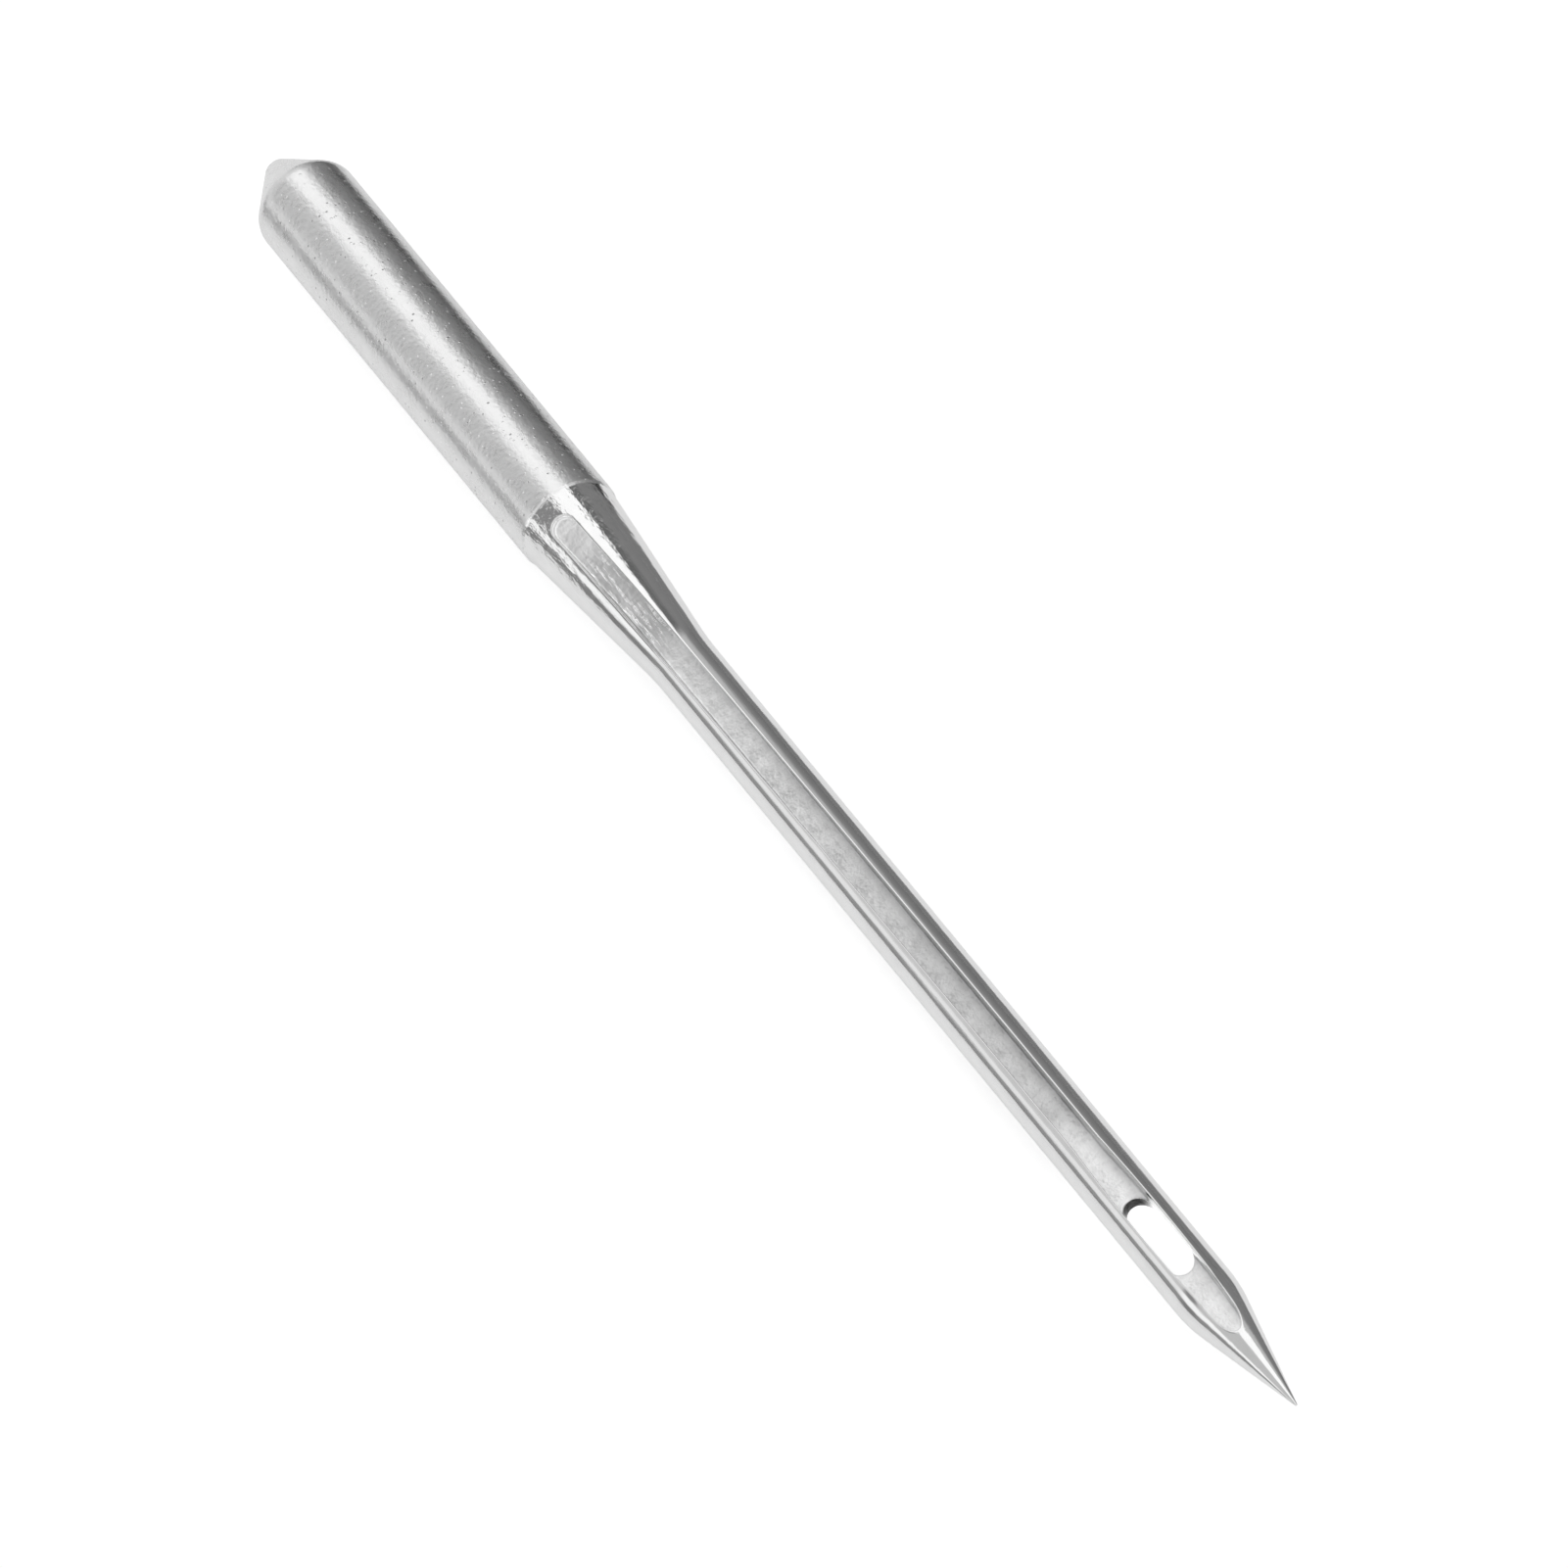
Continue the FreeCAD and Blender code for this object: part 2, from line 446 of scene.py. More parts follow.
@dataclass(frozen=True)
class Groove:
    """A groove pressed into one side of the needle, with the eye in its floor."""

    side: Side
    slot: Slot
    floor: Outline
    eye: Slot
    scarf: Outline | None = None
    plain_span: float = PLAIN_TOP_SPAN
    draft: float = 0.004
    foot_radius: float = 0.03

    def metal(self, x: float, y: float, radius: float) -> float:
        """Height of the metal before the groove is cut.

        Args:
            x: Millimetres from the butt.
            y: Distance from the centre line.
            radius: Radius of the blank there.

        Returns:
            The height above the axis, on this groove's side.
        """
        height = math.sqrt(max(0.0, radius * radius - y * y))
        if self.scarf is not None:
            height = min(height, self.scarf.height(x))
        return height

    def plain_angle(self, column: int) -> float:
        """Angle of a column on plain round metal."""
        return self.plain_span * column / (GROOVE_COLUMNS - 1)

    def columns(self, x: float, radius: float) -> Points:
        """Places of the groove's columns in one cross-section.

        Args:
            x: Millimetres from the butt.
            radius: Radius of the blank there.

        Returns:
            (distance from the centre line, height) of each column, outwards.
        """
        if self.slot.reach(x) > 0.0:
            return self.cut_columns(x, radius)
        return self.plain_columns(x, radius)

    def plain_columns(self, x: float, radius: float) -> Points:
        """Columns beyond the groove's ends, on the blank's own surface.

        Args:
            x: Millimetres from the butt.
            radius: Radius of the blank there.

        Returns:
            (distance from the centre line, height) of each column, outwards.
        """
        spread = self.slot.spread(x)
        lip = self.slot.edge_radius
        points = []
        for column in range(GROOVE_COLUMNS):
            y = radius * math.sin(self.plain_angle(column) * spread)
            if column >= FIRST_LIP_COLUMN:
                across = LIP[column - FIRST_LIP_COLUMN][0]
                y = max(y, self.slot.reach(x, lip * across))
            drop = lip * quarter_drop(self.slot.distance(x, y) / lip)
            points.append((y, self.metal(x, y, radius) - drop))
        return points

    def cut_columns(self, x: float, radius: float) -> Points:
        """Columns across the groove: floor, foot of the wall, wall and lip.

        Args:
            x: Millimetres from the butt.
            radius: Radius of the blank there.

        Returns:
            (distance from the centre line, height) of each column, outwards.
        """
        rim = self.slot.reach(x)
        wall_foot = self.slot.reach(x, -self.draft)
        depth = max(0.0, self.metal(x, rim, radius) - self.floor.height(x))
        lip_drop = min(self.slot.edge_radius, MOST_OF_WALL * depth)
        foot_rise = min(self.foot_radius, MOST_OF_WALL * depth)
        eye_reach = min(self.eye.reach(x, self.eye.edge_radius), wall_foot)
        foot = []
        for up, inwards in WALL_FOOT:
            inset = self.draft + self.foot_radius * inwards
            y = max(self.slot.reach(x, -inset), eye_reach)
            if self.slot.overshoot(x) > 0.0:
                rise = self.end_rise(x, y, foot_rise)
            else:
                rise = foot_rise * up
            foot.append((y, self.floor_height(x, y, radius) + rise))
        points = self.floor_columns(x, radius, foot[0][0], foot_rise)
        points += foot
        lip = []
        for across, down in LIP:
            y = self.slot.reach(x, self.slot.edge_radius * across)
            lip.append((y, self.metal(x, y, radius) - lip_drop * down))
        middle_y = (foot[-1][0] + lip[0][0]) / 2.0
        middle_height = (foot[-1][1] + lip[0][1]) / 2.0
        points.append((middle_y, middle_height))
        return points + lip

    def floor_height(self, x: float, y: float, radius: float) -> float:
        """Height of the groove's floor, or of the metal where that is lower."""
        return min(self.floor.height(x), self.metal(x, y, radius))

    def floor_columns(self, x: float, radius: float, floor_edge: float, foot_rise: float) -> Points:
        """Columns of the floor, round the eye where it is there.

        Args:
            x: Millimetres from the butt.
            radius: Radius of the blank there.
            floor_edge: Half-width of the floor.
            foot_rise: Height of the round at the wall's foot.

        Returns:
            (distance from the centre line, height) of each column, outwards.
        """
        eye_spread = self.eye.spread(x)
        edge = self.eye.edge_radius
        edge_points = []
        for index, (across, down) in enumerate(EYE_EDGE):
            reach = self.eye.reach(x, edge * across)
            spread_y = floor_edge * (CAP_COLUMNS + index) / FLOOR_COLUMNS * eye_spread
            y = max(min(reach, floor_edge), spread_y)
            if reach > 0.0:
                drop = edge * down
            else:
                drop = edge * quarter_drop(self.eye.distance(x, y) / edge)
            edge_points.append((y, self.floor_height(x, y, radius) - drop))
        points = []
        for index in range(CAP_COLUMNS):
            y = edge_points[0][0] * index / CAP_COLUMNS
            drop = edge * quarter_drop(max(0.0, self.eye.distance(x, y)) / edge)
            points.append((y, self.floor_height(x, y, radius) - drop))
        points += edge_points
        inner = edge_points[-1][0]
        for index in range(REMAINDER_COLUMNS):
            y = inner + (floor_edge - inner) * (index + 1) / (REMAINDER_COLUMNS + 1)
            points.append((y, self.floor_height(x, y, radius)))
        if self.slot.overshoot(x) <= 0.0:
            return points
        return [(y, height + self.end_rise(x, y, foot_rise)) for y, height in points]

    def end_rise(self, x: float, y: float, foot_rise: float) -> float:
        """Rise of the floor towards the wall, near the groove's round ends."""
        inside = -self.slot.distance(x, y) - self.draft
        return foot_rise * quarter_drop(inside / self.foot_radius)


@dataclass
class TurnedBlank:
    """The needle as it comes off the lathe: butt, shank, shoulder, blade and point."""

    places: Places = field(default_factory=Places)
    butt_face_diameter: float = 0.48
    butt_cone_length: float = 1.12
    butt_edge_radius: float = 0.45
    butt_face_edge: float = 0.02
    shank_edge_length: float = 0.05
    shank_edge_radius: float = 0.12
    shoulder_rim_radius: float = 0.08
    shoulder_blend_radius: float = 8.0
    point_length: float = 3.1
    point_blend_radius: float = 4.0
    tip_diameter: float = 0.06
    tip_length: float = 0.03

    @property
    def tip_start(self) -> float:
        """Where the rounding of the tip starts."""
        return self.places.tip - self.tip_length

    def outline(self) -> Outline:
        """Radius along the needle.

        Returns:
            The outline, from the butt's edge to the tip.
        """
        places = self.places
        shank = places.shank_radius
        shank_edge = places.shank_length - self.shank_edge_length
        shoulder_top = shank - places.shank_edge_step
        point_start = places.tip - self.point_length
        return Outline([
            Corner(0.0, self.butt_face_diameter / 2.0),
            Corner(self.butt_cone_length, shank, self.butt_edge_radius),
            Corner(shank_edge, shank, self.shank_edge_radius),
            Corner(places.shank_length, shoulder_top, self.shoulder_rim_radius),
            Corner(places.shoulder_end, places.blade_radius, self.shoulder_blend_radius),
            Corner(point_start, places.blade_radius, self.point_blend_radius),
            Corner(self.tip_start, self.tip_diameter / 2.0),
        ])

    def butt_points(self) -> Points:
        """(x, radius) of the rings on the butt's end face and its edge.

        Returns:
            The rings, from the middle of the face outwards.
        """
        face = self.butt_face_diameter / 2.0
        edge = self.butt_face_edge
        rings = [(0.0, face * share) for share in BUTT_FACE_SHARES]
        rings += [(edge * along, face + edge * out) for along, out in BUTT_EDGE_SHARES]
        return rings + [(edge, self.outline().height(edge))]

    def tip_points(self) -> Points:
        """(x, radius) of the rings that close the point.

        Returns:
            The rings, from the point's side to the very tip.
        """
        tip = self.places.tip
        radius = self.tip_diameter / 2.0
        return [(tip - self.tip_length * back, radius * out) for back, out in TIP_SHARES]

    def stations(self) -> list[float]:
        """Places along the needle at which the turned shape itself needs a ring."""
        return evenly_spaced(BLANK_RUNS + ((POINT_RUN_START, self.tip_start, POINT_RUN_RINGS),))


def evenly_spaced(runs: Runs) -> list[float]:
    """Places in several runs.

    Args:
        runs: (first, last, number of places) of each run.

    Returns:
        All the places.
    """
    places = []
    for first, last, count in runs:
        places += [first + (last - first) * index / (count - 1) for index in range(count)]
    return places


@dataclass
class Needle:
    """The whole needle: a turned blank with its grooves, scarf and eye."""

    blank: TurnedBlank = field(default_factory=TurnedBlank)
    eye_width: float = 0.59
    eye_slot_width: float = 0.582
    eye_end_length: float = 0.44
    eye_edge_radius: float = 0.03
    lip_radius: float = 0.03
    scarf_edge_length: float = 0.03
    long_width: float = 0.48
    long_depth: float = 0.48
    long_setback: float = 0.45
    long_start_depth: float = 0.11
    long_bend_before_blade: float = 0.85
    long_bend_radius: float = 5.0
    long_run_past_eye: float = 2.0
    long_end_length: float = 0.7
    short_width: float = 0.62
    short_depth: float = 0.25
    short_start_depth: float = 0.18
    short_bend_before_blade: float = 0.7
    short_bend_radius: float = 6.0
    short_dive_start: float = 6.6
    short_dive_length: float = 2.25
    short_dive_radius: float = 2.0
    short_landing_radius: float = 4.0
    scarf_depth: float = 0.44
    scarf_start: float = 6.95
    scarf_entry_length: float = 2.1
    scarf_entry_radius: float = 11.0
    scarf_exit_start: float = 2.15
    scarf_exit_length: float = 2.55
    scarf_exit_radius: float = 8.0
    scarf_lead: float = 0.02
    scarf_satin: float = 0.5
    eye_groove_depth: float = 0.5
    eye_groove_start: float = 0.95
    eye_groove_ramp_length: float = 0.85
    eye_groove_run_past_eye: float = 1.6
    crest_radius: float = 0.1
    ramp_foot_radius: float = 1.0
    twist: float = math.radians(17.0)

    @property
    def places(self) -> Places:
        """Lengths and diameters of the needle."""
        return self.blank.places

    def eye_plan(self) -> Slot:
        """Plan of the eye."""
        return Slot(
            start=self.places.eye_top,
            end=self.places.eye_bottom,
            width=self.eye_slot_width,
            edge_radius=self.eye_edge_radius,
            start_length=self.eye_end_length,
            end_length=self.eye_end_length,
        )

    def scarf_outline(self) -> Outline:
        """Distance of the scarf's flat from the axis.

        Returns:
            The distance along the needle, more than the radius where there is no scarf.
        """
        blade = self.places.blade_radius
        floor = blade - self.scarf_depth
        start = self.places.eye_top - self.scarf_start
        exit_start = self.places.eye_top - self.scarf_exit_start
        end = exit_start + self.scarf_exit_length
        return Outline([
            Corner(start - self.scarf_lead, self.places.shank_diameter),
            Corner(start, blade),
            Corner(start + self.scarf_entry_length, floor, self.scarf_entry_radius),
            Corner(exit_start, floor, self.scarf_exit_radius),
            Corner(end, blade),
            Corner(end + self.scarf_lead, self.places.shank_diameter),
        ])

    def long_groove(self) -> Groove:
        """The long groove, on the upper side.

        Returns:
            The groove, which swells beside the eye and ends on the point.
        """
        places = self.places
        start = places.shank_length + self.long_setback
        end = places.eye_bottom + self.long_run_past_eye
        floor = places.blade_radius - self.long_depth
        bend = places.shoulder_end - self.long_bend_before_blade
        slot = Slot(
            start=start,
            end=end,
            width=self.long_width,
            edge_radius=self.lip_radius,
            end_length=self.long_end_length,
            swell_width=self.eye_width,
            swell_middle=(places.eye_top + places.eye_bottom) / 2.0,
        )
        line = Outline([
            Corner(start, places.shoulder_radius(start) - self.long_start_depth),
            Corner(bend, floor, self.long_bend_radius),
            Corner(end, floor),
        ])
        return Groove(side=Side.TOP, slot=slot, floor=line, eye=self.eye_plan())

    def short_groove(self) -> Groove:
        """The short groove, which dives into the scarf and comes back below it.

        Returns:
            The groove, with the scarf that it crosses.
        """
        places = self.places
        blade = places.blade_radius
        start = places.shank_length
        end = places.eye_bottom + self.eye_groove_run_past_eye
        dive_start = places.eye_top - self.short_dive_start
        exit_start = places.eye_top - self.scarf_exit_start
        crest = places.eye_top - self.eye_groove_start
        scarf_floor = blade - self.scarf_depth
        risen = (crest - exit_start) / self.scarf_exit_length
        crest_height = scarf_floor + risen * self.scarf_depth
        eye_floor = blade - self.eye_groove_depth
        bend = places.shoulder_end - self.short_bend_before_blade
        line = Outline([
            Corner(start, places.shoulder_radius(start) - self.short_start_depth),
            Corner(bend, blade - self.short_depth, self.short_bend_radius),
            Corner(dive_start, blade - self.short_depth, self.short_dive_radius),
            Corner(dive_start + self.short_dive_length, scarf_floor, self.short_landing_radius),
            Corner(exit_start, scarf_floor, self.scarf_exit_radius),
            Corner(crest, crest_height, self.crest_radius),
            Corner(crest + self.eye_groove_ramp_length, eye_floor, self.ramp_foot_radius),
            Corner(end, eye_floor),
        ])
        slot = Slot(start=start, end=end, width=self.short_width, edge_radius=self.lip_radius)
        return Groove(
            side=Side.UNDER,
            slot=slot,
            floor=line,
            eye=self.eye_plan(),
            scarf=self.scarf_outline(),
            plain_span=PLAIN_UNDER_SPAN * (GROOVE_COLUMNS - 1) / (UNDER_COLUMNS - 1),
        )

    def stations(self) -> Points:
        """(x, radius) of every ring of the blank, from the butt to the point.

        Returns:
            The rings, in order along the needle.
        """
        outline = self.blank.outline()
        wanted = self.blank.stations() + evenly_spaced(SCARF_AND_EYE_RUNS)
        for slot in (self.long_groove().slot, self.short_groove().slot, self.eye_plan()):
            wanted += slot.stations()
        rings = self.blank.butt_points()
        tip = self.blank.tip_points()
        for x in sorted(wanted):
            if rings[-1][0] + LEAST_RING_GAP < x < tip[0][0] - LEAST_GAP_TO_TIP:
                rings.append((x, outline.height(x)))
        return rings + tip

    def under_columns(self, groove: Groove, x: float, radius: float) -> Points:
        """Columns of the under side: groove, flat of the scarf and the scarf's edge.

        Args:
            groove: The short groove.
            x: Millimetres from the butt.
            radius: Radius of the blank there.

        Returns:
            (distance from the centre line, height) of each column, outwards.
        """
        points = groove.columns(x, radius)
        lip_y = points[-1][0]
        flat = groove.scarf.height(x)
        edge_y = math.sqrt(max(0.0, radius * radius - flat * flat))
        extra = SHELF_COLUMNS + len(SCARF_EDGE_SHARES)
        if edge_y < lip_y + LEAST_SHELF:
            lip_angle = math.asin(min(1.0, lip_y / radius))
            step = PLAIN_UNDER_SPAN / (UNDER_COLUMNS - 1)
            for index in range(extra):
                angle = lip_angle + step * (index + 1)
                points.append((radius * math.sin(angle), radius * math.cos(angle)))
            return points
        edge = min(self.scarf_edge_length, MOST_OF_WALL * (edge_y - lip_y))
        inner_y = edge_y - edge
        for index in range(SHELF_COLUMNS):
            y = lip_y + (inner_y - lip_y) * (index + 1) / (SHELF_COLUMNS + 1)
            points.append((y, flat))
        outer_angle = math.asin(edge_y / radius) + edge / radius
        outer = Vector((radius * math.sin(outer_angle), radius * math.cos(outer_angle)))
        inner = Vector((inner_y, flat))
        corner = Vector((edge_y, flat))
        for share in SCARF_EDGE_SHARES:
            first = inner.lerp(corner, share)
            second = corner.lerp(outer, share)
            point = first.lerp(second, share)
            points.append((point.x, point.y))
        return points

    def half_section(
        self, long_groove: Groove, short_groove: Groove, x: float, radius: float
    ) -> Points:
        """One half of a cross-section, from the top centre line to the bottom one.

        Args:
            long_groove: The groove on the upper side.
            short_groove: The groove on the under side.
            x: Millimetres from the butt.
            radius: Radius of the blank there.

        Returns:
            (y, z) of each column.
        """
        top = long_groove.columns(x, radius)
        under = self.under_columns(short_groove, x, radius)
        top_angle = math.atan2(top[-1][0], top[-1][1])
        under_angle = math.pi - math.atan2(under[-1][0], under[-1][1])
        plain_under = math.pi - PLAIN_UNDER_SPAN
        points = list(top)
        for index in range(FLANK_COLUMNS):
            share = (index + 1) / (FLANK_COLUMNS + 1)
            share -= FLANK_CROWDING * math.sin(FULL_TURN * share) / FULL_TURN
            angle = PLAIN_TOP_SPAN + (plain_under - PLAIN_TOP_SPAN) * share
            angle += (top_angle - PLAIN_TOP_SPAN) * (1.0 - share) ** 2
            angle += (under_angle - plain_under) * share ** 2
            points.append((radius * math.sin(angle), radius * math.cos(angle)))
        for y, height in reversed(under):
            points.append((y, height * short_groove.side.value))
        return points

    def twist_angle(self, x: float) -> float:
        """How far the grooves have turned round the needle, compared with the eye.

        Args:
            x: Millimetres from the butt.

        Returns:
            The angle in radians. It is 0 at the eye and grows towards the shank.
        """
        run = self.places.eye_top - self.places.shank_length
        share = max(0.0, min(1.0, (self.places.eye_top - x) / run))
        return self.twist * share * share

    def turn(self, rings: Points) -> bmesh.types.BMesh:
        """Spins the blank.

        Args:
            rings: (x, radius) of every ring.

        Returns:
            The blank in millimetres. Each vertex keeps the number of its ring.
        """
        mesh = bmesh.new()
        ring_number = mesh.verts.layers.int.new("ring")
        outline = []
        for number, (x, radius) in enumerate(rings):
            vertex = mesh.verts.new((x, 0.0, radius))
            vertex[ring_number] = number
            outline.append(vertex)
        edges = [mesh.edges.new(pair) for pair in zip(outline, outline[1:])]
        bmesh.ops.spin(
            mesh,
            geom=outline + edges,
            cent=(0.0, 0.0, 0.0),
            axis=(1.0, 0.0, 0.0),
            angle=FULL_TURN,
            steps=RING_COLUMNS,
            use_merge=True,
        )
        return mesh

    def groove_share(
        self, grooves: tuple[Groove, Groove], x: float, radius: float, column: int
    ) -> float:
        """How far a column has the rough finish of the grooves.

        Args:
            grooves: The long groove and the short one.
            x: Millimetres from the butt.
            radius: Radius of the blank there.
            column: Number of the column, from the top centre line.

        Returns:
            1 in a groove, less on the scarf's flat, and 0 on the polished metal.
        """
        top, under = grooves
        under_column = HALF_COLUMNS - 1 - column
        in_top = column < FIRST_LIP_COLUMN and top.slot.reach(x) > 0.0
        in_under = under_column < FIRST_LIP_COLUMN and under.slot.reach(x) > 0.0
        if in_top or in_under:
            return 1.0
        on_scarf = under.scarf.height(x) < radius - self.scarf_edge_length
        if FIRST_LIP_COLUMN <= under_column < UNDER_COLUMNS - 1 and on_scarf:
            return self.scarf_satin
        return 0.0

    def press(self, mesh: bmesh.types.BMesh, rings: Points) -> None:
        """Moves the blank's vertices on to the grooved cross-sections.

        Args:
            mesh: The blank.
            rings: (x, radius) of every ring.
        """
        ring_number = mesh.verts.layers.int["ring"]
        column_number = mesh.verts.layers.int.new("column")
        in_groove = mesh.verts.layers.float.new("groove_share")
        grooves = (self.long_groove(), self.short_groove())
        sections = [
            self.half_section(*grooves, x, radius) if radius > 0.0 else []
            for x, radius in rings
        ]
        for vertex in mesh.verts:
            number = vertex[ring_number]
            x, radius = rings[number]
            if radius <= 0.0:
                continue
            spun = math.atan2(vertex.co.y, vertex.co.z) % FULL_TURN
            column = round(spun / FULL_TURN * RING_COLUMNS) % RING_COLUMNS
            side = 1.0
            if column >= HALF_COLUMNS:
                column = RING_COLUMNS - column
                side = -1.0
            y, z = sections[number][column]
            turn = Matrix.Rotation(self.twist_angle(x), 3, "X")
            vertex.co = turn @ Vector((x, side * y, z))
            vertex[column_number] = column
            vertex[in_groove] = self.groove_share(grooves, x, radius, column)

    def open_eye(self, mesh: bmesh.types.BMesh, rings: Points) -> None:
        """Takes the web out of the eye and joins its two rims.

        Args:
            mesh: The pressed needle.
            rings: (x, radius) of every ring.
        """
        ring_number = mesh.verts.layers.int["ring"]
        column_number = mesh.verts.layers.int["column"]
        first = self.places.eye_top - EYE_RING_TOLERANCE
        last = self.places.eye_bottom + EYE_RING_TOLERANCE
        web = []
        for face in mesh.faces:
            places = [rings[vertex[ring_number]][0] for vertex in face.verts]
            columns = [vertex[column_number] for vertex in face.verts]
            if min(places) < first or max(places) > last:
                continue
            lowest_top = max(columns)
            highest_under = HALF_COLUMNS - 1 - min(columns)
            if lowest_top <= CAP_COLUMNS or highest_under <= CAP_COLUMNS:
                web.append(face)
        bmesh.ops.delete(mesh, geom=web, context="FACES")
        bmesh.ops.remove_doubles(mesh, verts=mesh.verts, dist=MERGE_DISTANCE / METRES_PER_MM)
        rims = [edge for edge in mesh.edges if edge.is_boundary]
        in_eye = mesh.verts.layers.float.new("eye_share")
        for edge in rims:
            for vertex in edge.verts:
                vertex[in_eye] = 1.0
        bmesh.ops.bridge_loops(mesh, edges=rims)
        open_edges = sum(not edge.is_manifold for edge in mesh.edges)
        LOG.info("eye rims: %d edges, %d left open", len(rims), open_edges)

    def build(self, steel: bpy.types.Material) -> bpy.types.Object:
        """Makes the needle.

        Args:
            steel: The material that dresses it.

        Returns:
            The finished piece, riding on the part's body.
        """
        rings = self.stations()
        mesh = self.turn(rings)
        self.press(mesh, rings)
        self.open_eye(mesh, rings)
        bmesh.ops.scale(mesh, vec=(METRES_PER_MM,) * 3, verts=mesh.verts)
        bmesh.ops.recalc_face_normals(mesh, faces=mesh.faces)
        for face in mesh.faces:
            face.smooth = True
        data = bpy.data.meshes.new("needle_steel_mesh")
        mesh.to_mesh(data)
        mesh.free()
        data.materials.append(steel)
        piece = put_in_scene("needle_body", data)
        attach(piece, "root")
        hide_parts("needle")
        LOG.info("needle: %d rings, %d faces", len(rings), len(data.polygons))
        return piece


class NodeBoard:
    """Places nodes in one node tree and joins them."""

    def __init__(self, tree: bpy.types.NodeTree) -> None:
        """Keeps the tree and clears it."""
        self.tree = tree
        tree.nodes.clear()

    @classmethod
    def for_material(cls, name: str) -> tuple[bpy.types.Material, "NodeBoard"]:
        """Makes a material and clears it for its nodes.

        Args:
            name: The material's name.

        Returns:
            The material, and the board that places its nodes.
        """
        material = bpy.data.materials.new(name)
        material.use_nodes = True
        return material, cls(material.node_tree)

    def add(
        self, kind: str, inputs: dict[str | int, object] | None = None, **settings: object
    ) -> bpy.types.Node:
        """Adds a node.

        Args:
            kind: The node's type.
            inputs: Values or sockets for its inputs, by name or number.
            **settings: Properties of the node.

        Returns:
            The node.
        """
        node = self.tree.nodes.new(kind)
        for name, value in settings.items():
            setattr(node, name, value)
        for name, value in (inputs or {}).items():
            if isinstance(value, Socket):
                self.tree.links.new(value, node.inputs[name])
            else:
                node.inputs[name].default_value = value
        return node

    def math(self, operation: str, *values: object) -> Socket:
        """Result of a Math node."""
        return self.add("ShaderNodeMath", dict(enumerate(values)), operation=operation).outputs[0]

    def times(self, first: object, second: object) -> Socket:
        """Product of two numbers."""
        return self.math("MULTIPLY", first, second)

    def blend(self, share: object, low: object, high: object) -> Socket:
        """Number that goes from low to high as share goes from 0 to 1."""
        rise = self.math("SUBTRACT", high, low)
        return self.math("MULTIPLY_ADD", share, rise, low)

    def step(self, value: object, low: float, high: float) -> Socket:
        """Eased step from 0 at low to 1 at high."""
        inputs = {"Value": value, "From Min": low, "From Max": high}
        return self.add("ShaderNodeMapRange", inputs, interpolation_type="SMOOTHSTEP").outputs[0]

    def scaled(self, vector: object, scale: tuple[float, float, float]) -> Socket:
        """Coordinates scaled by axis."""
        node = self.add("ShaderNodeVectorMath", {0: vector, 1: scale}, operation="MULTIPLY")
        return node.outputs[0]

    def noise(self, vector: object, scale: float, detail: float) -> Socket:
        """Noise from 0 to 1, with a middle of 0.5."""
        inputs = {"Vector": vector, "Scale": scale, "Detail": detail}
        return self.add("ShaderNodeTexNoise", inputs).outputs[0]


@dataclass(frozen=True)
class Pattern:
    """Noise in the steel: its scale per millimetre, its detail and its stretch by axis."""

    scale: float = 1.0
    detail: float = 3.0
    stretch: tuple[float, float, float] | None = None

    def draw(self, board: NodeBoard, millimetres: Socket) -> Socket:
        """The noise, from 0 to 1 with a middle of 0.5."""
        vector = board.scaled(millimetres, self.stretch) if self.stretch else millimetres
        return board.noise(vector, self.scale, self.detail)


@dataclass(frozen=True)
class Finish:
    """Colour, gloss and grain of one finish of the steel. Heights are in millimetres."""

    colour: float
    colour_spread: float
    roughness: float
    roughness_spread: float
    grain_height: float


@dataclass(frozen=True)
class Spots:
    """Small pits or bumps in the satin plating; bumps get a painted glint. Sizes in millimetres."""

    spacing: float
    kept_share: float
    radius: float
    depth: float
    shade: float
    full_depth_share: float = 0.45

    def mask(self, board: NodeBoard, millimetres: Socket) -> Socket:
        """Where the spots are.

        Args:
            board: The material's node board.
            millimetres: Coordinates in millimetres.

        Returns:
            1 in a spot and 0 on the metal between them.
        """
        inputs = {"Vector": millimetres, "Scale": 1.0 / self.spacing}
        cells = board.add("ShaderNodeTexVoronoi", inputs)
        edge = self.radius / self.spacing
        inside = board.step(cells.outputs["Distance"], edge, edge * self.full_depth_share)
        draw = board.add("ShaderNodeSeparateColor", {0: cells.outputs["Color"]}).outputs[0]
        kept = board.math("LESS_THAN", draw, self.kept_share)
        return board.times(inside, kept)


@dataclass(frozen=True)
class Stretch:
    """Part of the needle where a mark shows, in millimetres from the butt."""

    start: float
    full_from: float
    full_to: float
    end: float

    def share(self, board: NodeBoard, along: Socket) -> Socket:
        """How strong the mark is.

        Args:
            board: The material's node board.
            along: Millimetres from the butt.

        Returns:
            1 where the mark is strong and 0 where there is none.
        """
        comes = board.step(along, self.start, self.full_from)
        goes = board.step(along, self.end, self.full_to)
        return board.times(comes, goes)


@dataclass(frozen=True)
class GrindingMarksWithPaintedHighlight:
    """Fine grinding-wheel lines along the first part of the grooves, with painted highlights."""

    where: Stretch = Stretch(12.3, 13.2, 14.6, 15.6)
    pattern: Pattern = Pattern(detail=2.0, stretch=(1.6, 13.0, 2.6))
    line_from: float = 0.51
    line_full: float = 0.63
    height: float = 0.007
    shine: float = 0.3
    # Grey of the lines: a painted highlight.
    colour: float = 1.0
    dim: float = 0.72

    def mask(self, board: NodeBoard, millimetres: Socket) -> Socket:
        """1 on a line and 0 beside it."""
        return board.step(self.pattern.draw(board, millimetres), self.line_from, self.line_full)


